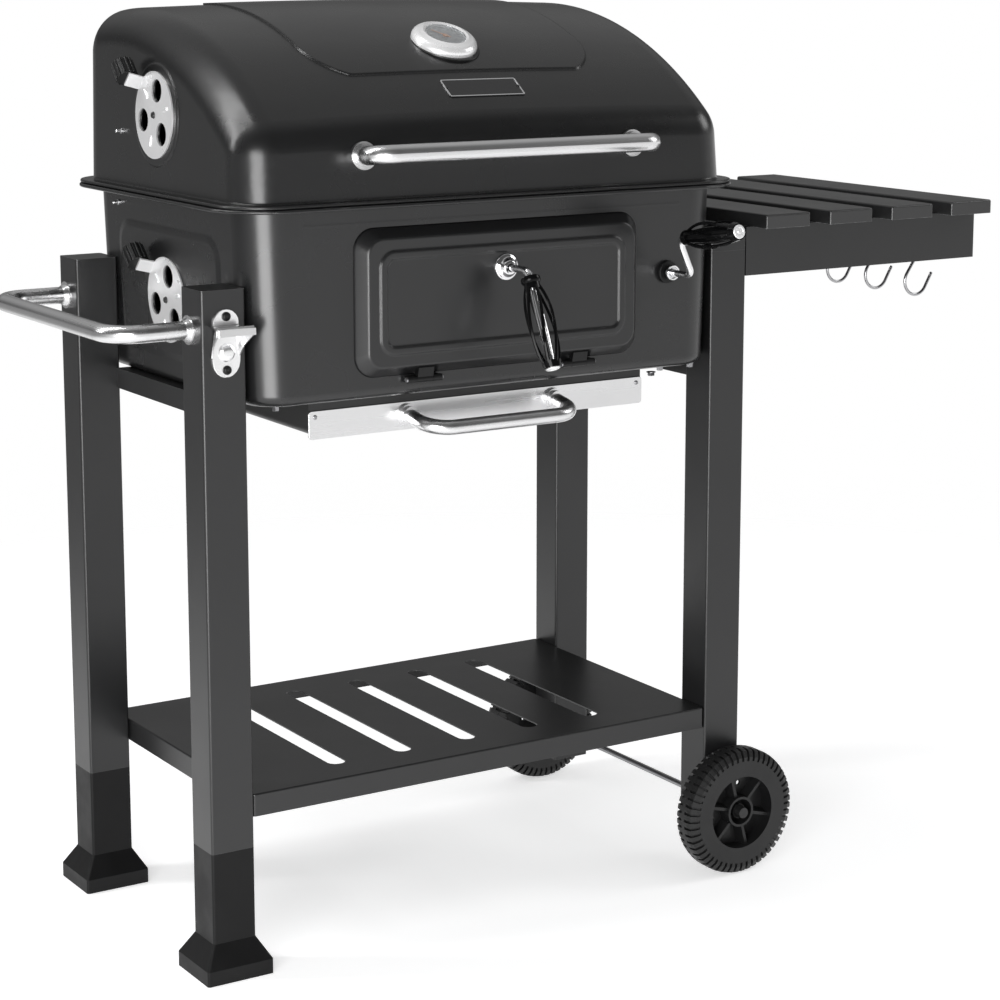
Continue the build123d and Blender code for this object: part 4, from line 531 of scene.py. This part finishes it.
# ---------------------------------------------------------------- thermometer
INK_LOW, INK_HIGH = 0.02, 0.14
DIAL_START, DIAL_SWEEP = 225, 270         # degrees, from the lower left over the top
DIAL_NUMBERS = ("50", "100", "150", "200", "250", "300")
MARK_COUNT, LONG_EVERY, MARK_END = 25, 4, 22.0
LONG_MARK, SHORT_MARK = (18.2, 0.016), (19.6, 0.009)       # the radius where it begins, half its width in radians
NUMBER_RADIUS, NUMBER_SIZE = 16.2, 3.4
# A dark ring under the thermometer case, a painted shadow.
SHADOW_RING, SHADOW_RING_DROP = [(36.0, -4.0), (40.2, -4.0), (40.6, 1.0), (40.0, 1.8), (36.0, 1.8)], 9.0

dial_mesh = nodes["thermometer_dial"].data
up_face = max(dial_mesh.polygons, key=lambda p: p.area * (1 if p.normal.z > 0.5 else 0))
dial_normal = up_face.normal.copy()
low, high = box("thermometer_dial")
dial_place = frame_on((low + high) / 2 + dial_normal * 0.4 * MM, dial_normal)


def dial_angle(share):
    return radians(DIAL_START - DIAL_SWEEP * share)


def arc_strip(into, r0, r1, a0, a1, steps):
    """A printed arc with a small real thickness."""
    corners = ((r0, INK_LOW), (r0, INK_HIGH), (r1, INK_HIGH), (r1, INK_LOW))
    angles = [a0 + (a1 - a0) * i / steps for i in range(steps + 1)]
    closed(into, [[into.verts.new(dial_place @ polar(r, a, height)) for r, height in corners] for a in angles])


mesh_data = bmesh.new()
for i in range(MARK_COUNT):
    a = dial_angle(i / (MARK_COUNT - 1))
    start, half = LONG_MARK if i % LONG_EVERY == 0 else SHORT_MARK
    arc_strip(mesh_data, start, MARK_END, a - half, a + half, 2)
arc_strip(mesh_data, MARK_END + 0.3, MARK_END + 0.7, dial_angle(1), dial_angle(0), 60)
piece("dial_marks", mesh_data, "lid", dial_ink)

for i, label in enumerate(DIAL_NUMBERS):
    text = bpy.data.curves.new(f"dial_number_{i}", "FONT")
    text.body, text.size, text.extrude = label, NUMBER_SIZE * MM, 0.05 * MM
    text.align_x, text.align_y = "CENTER", "CENTER"
    text.resolution_u = 3
    holder = bpy.data.objects.new(f"dial_text_{i}", text)
    scene.collection.objects.link(holder)
    bpy.context.view_layer.update()
    mesh = bpy.data.meshes.new_from_object(holder.evaluated_get(bpy.context.evaluated_depsgraph_get()))
    bpy.data.objects.remove(holder)
    spot = dial_place @ polar(NUMBER_RADIUS, dial_angle((i + 0.5) / len(DIAL_NUMBERS)), 0.08)
    mesh.transform(Matrix.Translation(spot) @ dial_place.to_3x3().to_4x4())
    mesh.materials.clear()
    mesh.materials.append(dial_ink)
    add_object(f"dial_number_{i}", mesh, "lid")

# A dark ring paints the shadow gap around the case's base; it lies under the dial, on the case's axis.
low, high = box("thermometer_case")
axis_point = (low + high) / 2
axis_point -= dial_normal * (axis_point - dial_place.translation).dot(dial_normal)
mesh_data = bmesh.new()
lathe(mesh_data, SHADOW_RING, frame_on(axis_point - dial_normal * SHADOW_RING_DROP * MM, dial_normal), 64)
piece("thermometer_shadow_ring", mesh_data, "lid", knob_plastic)

# ---------------------------------------------------------------- end studs and underside bolts
STUD = [(3.4, -0.5), (3.4, 1.2), (1.9, 1.6), (1.9, 7.0), (1.3, 7.8), (0, 8.0)]
for node, start, name, body in (("lid", at(-500, 100, 923), "lid_end_stud", "lid"),
                                ("firebox", at(-500, 130, 838), "firebox_end_stud", "cart")):
    point, normal = surface_point(node, start, RIGHT)
    mesh_data = bmesh.new()
    lathe(mesh_data, STUD, frame_on(point, normal, REAR), 20)
    piece(name, mesh_data, body, chrome)

firebox_floor, rail_underside = box("firebox")[0].z / MM, 616
mesh_data = bmesh.new()
for x in (-273, 241, 285):
    hex_head(mesh_data, frame_on(at(x, -186, firebox_floor), DOWN), 7.0, 6.0)
for x in (-290, 290):
    for y in (-100, 0, 100):
        hex_head(mesh_data, frame_on(at(x, y, rail_underside), DOWN), 8.0, 5.0)
piece("underside_bolts", mesh_data, "cart", zinc)

# ---------------------------------------------------------------- stamped bottle opener
# Its own axes: X to the right, Y up and Z out of the leg, from the middle of the plate's rear face.
PLATE_HALF = [(0, 37), (4, 36.5), (8, 34.7), (12, 31), (14.4, 27), (15, 23), (14.6, 19), (12.6, 15.5),
              (11.6, 12.5), (12, 9), (13.6, 4), (15.2, -2), (16.2, -9), (16.5, -15), (16.2, -21),
              (14.8, -27), (11.6, -32), (7, -35.6), (3, -37)]
HOOD_RIGHT = [(11.5, 13.5, 1.5), (17.5, 16.0, 12), (21.5, 18.5, 26)]
LIP_RIGHT = [(21.5, 18.5, 27.4), (21.5, 11.0, 28.2)]
WALL_RIGHT = [(11.8, 13.0, 1.5), (21.4, 17.4, 26), (21.4, 10.6, 26), (18.4, -2.0, 10), (16.0, -15.0, 1.5)]
DOME = [(10.5, 0), (9.6, 2.0), (7.8, 3.6), (5.4, 4.6), (2.8, 5.1), (0, 5.2)]
PLATE_FRONT = 2.6


def mirrored(points):
    """The points with X turned about, in the reverse order."""
    return [(-p[0], *p[1:]) for p in reversed(points)]


low, high = box("bottle_opener")
opener = frame_on(Vector((low.x + 17.5 * MM, high.y, high.z - 37 * MM)), FRONT)
outline = PLATE_HALF + mirrored(PLATE_HALF[1:])
small = [(x * 0.97, y * 0.985) for x, y in outline]
mesh_data = bmesh.new()
capped(mesh_data, [(outline, 0.0), (outline, 2.0), (small, PLATE_FRONT)], opener)
sheet(mesh_data, opener, mirrored(HOOD_RIGHT[:1]) + HOOD_RIGHT + mirrored(HOOD_RIGHT[1:]), 2.2)
sheet(mesh_data, opener, mirrored(LIP_RIGHT[:1]) + LIP_RIGHT + mirrored(LIP_RIGHT[1:]), 2.4)
for wall in (mirrored(WALL_RIGHT), WALL_RIGHT):
    sheet(mesh_data, opener, wall, 2.0)
bar = shifted(opener, 0, 19.0, 2.2)
tube(mesh_data, [bar @ Vector((x * MM, 0, 0)) for x in (-14.2, -7, 0, 7, 14.2)], 1.3, 12)
lathe(mesh_data, DOME, shifted(opener, 0, -10.0, 2.0), 32)
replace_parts(piece("opener_body", mesh_data, "cart", opener_steel, sharp=28), "bottle_opener")

# ---------------------------------------------------------------- screws
mesh_data = bmesh.new()
for y in (29, -29):
    screw_head(mesh_data, shifted(opener, 0, y, PLATE_FRONT), 5.0, 3.4)
piece("opener_screws", mesh_data, "cart", knob_plastic)

low, high = box("drawer_front")
mesh_data = bmesh.new()
for x in (low.x + 8 * MM, high.x - 8 * MM):
    screw_head(mesh_data, frame_on(Vector((x, low.y, high.z - 7 * MM)), FRONT), 2.6, 1.4)
piece("drawer_screws", mesh_data, "ash_drawer", zinc)

mesh_data = bmesh.new()
for inset in (38, 14):
    spot = Vector((legs_high.x - inset * MM, legs_high.y, legs_high.z - 20 * MM))
    screw_head(mesh_data, frame_on(spot, REAR), 4.4, 2.4)
piece("rail_screws", mesh_data, "cart", zinc)

# ---------------------------------------------------------------- post caps, from the right legs to the slats
TABLE_GAP, PLUG_DEPTH, PLUG_INSET = 0.4, 8.0, 7
CHAMFER_INSET, CHAMFER_DROP = 2.4, 1.2
for leg, name in (("leg_front_right", "front_post_cap"), ("leg_rear_right", "rear_post_cap")):
    low, high = box(leg)
    width, depth = (high.x - low.x) / MM, (high.y - low.y) / MM
    centre = Vector(((low.x + high.x) / 2, (low.y + high.y) / 2, high.z))
    top = (box("table_slat_1")[0].z - high.z) / MM - TABLE_GAP
    plug, post = rounded(width - PLUG_INSET, depth - PLUG_INSET, 2), rounded(width, depth, 3)
    crown = rounded(width - CHAMFER_INSET, depth - CHAMFER_INSET, 2)
    mesh_data = bmesh.new()
    capped(mesh_data, [(plug, -PLUG_DEPTH), (plug, 0.1), (post, 0.1), (post, top - CHAMFER_DROP), (crown, top)],
           frame_on(centre, UP))
    piece(name, mesh_data, "cart", paint_main)

# ---------------------------------------------------------------- wide S-hooks
WIRE, TOP_RADIUS, LOW_RADIUS = 2.0, 6.4, 18.5
LOW_ASIDE = 5                                              # the low arc's centre, to the left of the bar
TOP_START, LOW_END = radians(200), radians(330)            # where the wire begins, and where the low arc ends
END_LEAN, END_POINTS = radians(30), (7, 14, 20.5)          # the straight free end


def arc(centre, radius, start, end, steps):
    """Points in metres along a circle that faces the front."""
    angles = [start + (end - start) * k / steps for k in range(steps + 1)]
    return [centre + Vector((cos(a), 0, sin(a))) * (radius * MM) for a in angles]


bar_low, bar_high = box("hook_bar")
bar_centre = (bar_low + bar_high) / 2
leaving = Vector((sin(END_LEAN), 0, cos(END_LEAN)))
for index, body in enumerate(("hook_front", "hook_middle", "hook_rear"), 1):
    low, high = box(f"hook_{index}")
    upper = Vector((bar_centre.x, (low.y + high.y) / 2, bar_centre.z))
    lower = Vector((bar_centre.x - LOW_ASIDE * MM, upper.y, low.z + (WIRE + LOW_RADIUS) * MM))
    apart = lower - upper
    # The straight run that touches both arcs leaves the top one at this angle.
    cross = atan2(apart.z, apart.x) + pi / 2 - asin((TOP_RADIUS + LOW_RADIUS) * MM / apart.length)
    line = arc(upper, TOP_RADIUS, TOP_START, cross, 16) + arc(lower, LOW_RADIUS, cross + pi, LOW_END, 24)
    low_end = line[-1]
    line += [low_end + leaving * (length * MM) for length in END_POINTS]
    mesh_data = bmesh.new()
    tube(mesh_data, line, WIRE)
    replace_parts(piece(f"{body}_wire", mesh_data, body, wire_steel), f"hook_{index}")

# ---------------------------------------------------------------- the grips' end caps and cores
END_CAP = [(7.9, -0.6), (7.9, 0.6), (7.2, 1.2), (5.2, 1.3), (4.8, 0.9), (2.6, 0.9), (2.2, 1.3), (0, 1.4)]
# Along a core, the share of the grip's length from its far end, and of the full radius.
CORE = ((0.06, 0.72), (0.2, 0.88), (0.4, 1.0), (0.6, 1.0), (0.8, 0.86), (0.93, 0.7))
LATCH_LEAN, CRANK_TILT = radians(26), radians(9.3)
latch_way = Vector((0, -sin(LATCH_LEAN), -cos(LATCH_LEAN))).normalized()
crank_way = Vector((0, -cos(CRANK_TILT), sin(CRANK_TILT))).normalized()


def grip_end(node, way):
    """A place on the far end of a grip and its length, from the node's own points."""
    verts = [v.co for v in nodes[node].data.vertices]
    reach = [v.dot(way) for v in verts]
    far, near = max(reach), min(reach)
    rim = [v for v, r in zip(verts, reach) if r > far - 0.2 * MM]
    return frame_on(sum(rim, Vector()) / len(rim), way), (far - near) / MM


def end_cap(node, way, name, body):
    """A bright disc on the far end of a grip."""
    place, _ = grip_end(node, way)
    made = bmesh.new()
    lathe(made, END_CAP, place, 36)
    # The disc's brightness is partly the painted sheen of its material.
    piece(name, made, body, bezel_with_painted_sheen)


def grip_core(node, way, name, body, material, radius, ribs):
    """A ribbed core inside a grip, thickest in the middle."""
    place, length = grip_end(node, way)
    made = bmesh.new()
    capped(made, [(ribbed(radius * swell, ribs, 0.45), -share * length) for share, swell in CORE], place)
    piece(name, made, body, material)


end_cap("latch_grip", latch_way, "latch_end_cap", "latch")
end_cap("crank_grip", crank_way, "crank_end_cap", "crank")
grip_core("latch_grip", latch_way, "latch_grip_core", "latch", chrome, 4.8, 12)
grip_core("crank_grip", crank_way, "crank_grip_core", "crank", grip_paint, 9.5, 10)

# ---------------------------------------------------------------- crank bushing's knurl and hub
KNURL_RADIUS, KNURL_RIBS = 12.4, 30
HUB = [(9.0, 11.4), (9.0, 14.2), (8.4, 15.0), (7.0, 15.0), (6.5, 14.4), (6.5, 12.6), (5.2, 12.6), (5.2, 17.2),
       (4.7, 17.8), (4.1, 17.8)]
bushing = rear_of("crank_bushing")
plain, knurled = ribbed(KNURL_RADIUS, KNURL_RIBS, 0.0), ribbed(KNURL_RADIUS + 0.6, KNURL_RIBS, 0.5)
mesh_data = bmesh.new()
capped(mesh_data, [(plain, 0.2), (knurled, 0.6), (knurled, 5.2), (plain, 5.8)], bushing)
piece("bushing_knurl", mesh_data, "cart", knob_plastic)
mesh_data = bmesh.new()
lathe(mesh_data, HUB, bushing)
piece("bushing_hub", mesh_data, "cart", chrome)

# ---------------------------------------------------------------- door handle's rosette, sleeve and collar
ROSETTE = [(6.4, 0), (15.0, 0), (15.2, 1.4), (14.6, 2.4), (13.2, 2.9), (11.8, 3.6), (10.4, 5.2), (9.0, 8.0),
           (8.0, 9.6), (6.8, 10.4), (5.0, 10.6)]
COLLAR = [(4.0, 7.0), (9.4, 7.0), (10.8, 8.0), (11.2, 10.0), (11.2, 12.6), (10.2, 14.2), (9.2, 15.0),
          (4.0, 15.0)]
SLEEVE_RADIUS, BEND, BEND_STEPS = 4.2, 11 * MM, 8
mesh_data = bmesh.new()
lathe(mesh_data, ROSETTE, rear_of("door_handle_rosette"), 48)
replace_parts(piece("door_rosette_dome", mesh_data, "door", chrome, sharp=60),
            "door_handle_rosette")

# The sleeve runs straight out of the door, bends at the knee and goes on into the grip.
knee = at(0, -269.8, 778)
line = [knee - FRONT * (back * MM) for back in (38, 26, 16)]
for k in range(BEND_STEPS + 1):
    t = k / BEND_STEPS
    line.append(knee - FRONT * BEND * (1 - t) * (1 - t) + latch_way * BEND * t * t)
line.append(knee + latch_way * (16 * MM))
mesh_data = bmesh.new()
tube(mesh_data, line, SLEEVE_RADIUS, 24)
piece("latch_sleeve", mesh_data, "latch", chrome)
mesh_data = bmesh.new()
lathe(mesh_data, COLLAR, frame_on(knee, latch_way))
piece("latch_collar", mesh_data, "latch", grip_paint)

# ---------------------------------------------------------------- camera
YAW, PITCH = 0.5622, 0.1744
camera_data = bpy.data.cameras.new("camera")
camera = bpy.data.objects.new("camera", camera_data)
scene.collection.objects.link(camera)
scene.camera = camera
camera.location = (-1.6533, -2.5597, 1.1261)
camera.rotation_mode = "QUATERNION"
looking = Vector((sin(YAW) * cos(PITCH), cos(YAW) * cos(PITCH), -sin(PITCH)))
camera.rotation_quaternion = looking.to_track_quat("-Z", "Y")
camera_data.sensor_width = 36.0
camera_data.lens = 91.57
camera_data.shift_y = -0.1
camera_data.clip_start, camera_data.clip_end = 0.05, 60.0


# ---------------------------------------------------------------- floor
def pale_floor():
    """Takes shadows, glows a little to the rays that see it, and fades away from the part."""
    glow_strength, clear_from, clear_to = 0.5, 0.9, 2.6
    material = bpy.data.materials.new("floor_pale")
    material.use_nodes = True
    tree = material.node_tree
    shader = tree.nodes["Principled BSDF"]
    shader.inputs["Base Color"].default_value = (0.86, 0.86, 0.865, 1)
    shader.inputs["Roughness"].default_value = 0.9
    shader.inputs["Specular IOR Level"].default_value = 0.1

    path = new_node(tree, "ShaderNodeLightPath").outputs
    seen = maths(tree, "MAXIMUM", path["Is Camera Ray"], path["Is Glossy Ray"])
    seen = maths(tree, "MAXIMUM", seen, path["Is Transmission Ray"])
    glow = new_node(tree, "ShaderNodeEmission")
    link(tree, maths(tree, "MULTIPLY", seen, glow_strength), glow.inputs["Strength"])
    lit = new_node(tree, "ShaderNodeAddShader")
    link(tree, shader.outputs[0], lit.inputs[0])
    link(tree, glow.outputs[0], lit.inputs[1])

    coords = new_node(tree, "ShaderNodeTexCoord")
    distance = new_node(tree, "ShaderNodeVectorMath", operation="LENGTH")
    link(tree, coords.outputs["Object"], distance.inputs[0])
    clear = new_node(tree, "ShaderNodeBsdfTransparent")
    blend = new_node(tree, "ShaderNodeMixShader")
    link(tree, smooth_step(tree, distance.outputs["Value"], clear_from, clear_to), blend.inputs["Fac"])
    link(tree, lit.outputs[0], blend.inputs[1])
    link(tree, clear.outputs[0], blend.inputs[2])
    link(tree, blend.outputs[0], tree.nodes["Material Output"].inputs["Surface"])
    return material


floor_mesh = bpy.data.meshes.new("floor")
floor_data = bmesh.new()
bmesh.ops.create_grid(floor_data, x_segments=1, y_segments=1, size=6.0)
floor_data.to_mesh(floor_mesh)
floor_data.free()
floor = bpy.data.objects.new("floor", floor_mesh)
floor.location.z = -0.5 * MM
scene.collection.objects.link(floor)
floor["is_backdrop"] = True
floor_mesh.materials.append(pale_floor())


# ---------------------------------------------------------------- light
def area_light(name, place, target, width, height, power):
    data = bpy.data.lights.new(name, "AREA")
    data.shape = "RECTANGLE"
    data.size, data.size_y = width, height
    data.energy = power
    made = bpy.data.objects.new(name, data)
    made.location = place
    made.rotation_mode = "QUATERNION"
    made.rotation_quaternion = (Vector(target) - Vector(place)).to_track_quat("-Z", "Y")
    scene.collection.objects.link(made)


def studio(tree):
    """White to camera and transmission rays, graded to glossy rays, a plain ambient light to the rest."""
    ambient_level, ceiling_level, darkest = 0.42, 0.38, 0.04
    path = new_node(tree, "ShaderNodeLightPath").outputs
    coords = new_node(tree, "ShaderNodeTexCoord")
    split = new_node(tree, "ShaderNodeSeparateXYZ")
    link(tree, coords.outputs["Generated"], split.inputs[0])
    x, y, z = (split.outputs[axis] for axis in "XYZ")

    # A pale sweep below the horizon, dimmer to the left rear.
    side = maths(tree, "SUBTRACT", maths(tree, "MULTIPLY", x, 0.6), maths(tree, "MULTIPLY", y, 0.8))
    sweep = maths(tree, "MULTIPLY", smooth_step(tree, z, -0.05, 0.17, 1.0, 0.08),
                  smooth_step(tree, side, -1.0, -0.2, 0.29, 1.0))
    # A soft ceiling that leans to the rear.
    leaning = maths(tree, "ADD", maths(tree, "MULTIPLY", z, 0.8), maths(tree, "MULTIPLY", y, 0.6))
    ceiling = maths(tree, "MULTIPLY", smooth_step(tree, leaning, 0.15, 0.8, 0.0, ceiling_level),
                    smooth_step(tree, z, 0.0, 0.6))
    level = maths(tree, "MAXIMUM", sweep, maths(tree, "ADD", ceiling, darkest))

    glossy = maths(tree, "MULTIPLY", path["Is Glossy Ray"], level)
    ambient = smooth_step(tree, path["Is Glossy Ray"], 0.0, 1.0, ambient_level, 0.0)
    seen = maths(tree, "MAXIMUM", path["Is Camera Ray"], path["Is Transmission Ray"])
    background = tree.nodes["Background"]
    background.inputs["Color"].default_value = (1, 1, 1, 1)
    strength = maths(tree, "MAXIMUM", seen, maths(tree, "MAXIMUM", glossy, ambient))
    link(tree, strength, background.inputs["Strength"])


near_corner, middle = (-0.42, -0.1, 0.8), (0, 0, 0.6)
area_light("softbox_left_front", (-1.95, -1.85, 0.62), near_corner, width=1.4, height=1.6, power=64)
area_light("softbox_left_top", (-1.75, 0.65, 2.25), near_corner, width=0.22, height=2.6, power=26)
area_light("softbox_right", (2.7, -1.0, 2.1), middle, width=1.2, height=1.2, power=18)
world = bpy.data.worlds.new("studio")
scene.world = world
world.use_nodes = True
studio(world.node_tree)
scene.view_settings.view_transform = "Standard"

bpy.context.view_layer.update()
low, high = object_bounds()
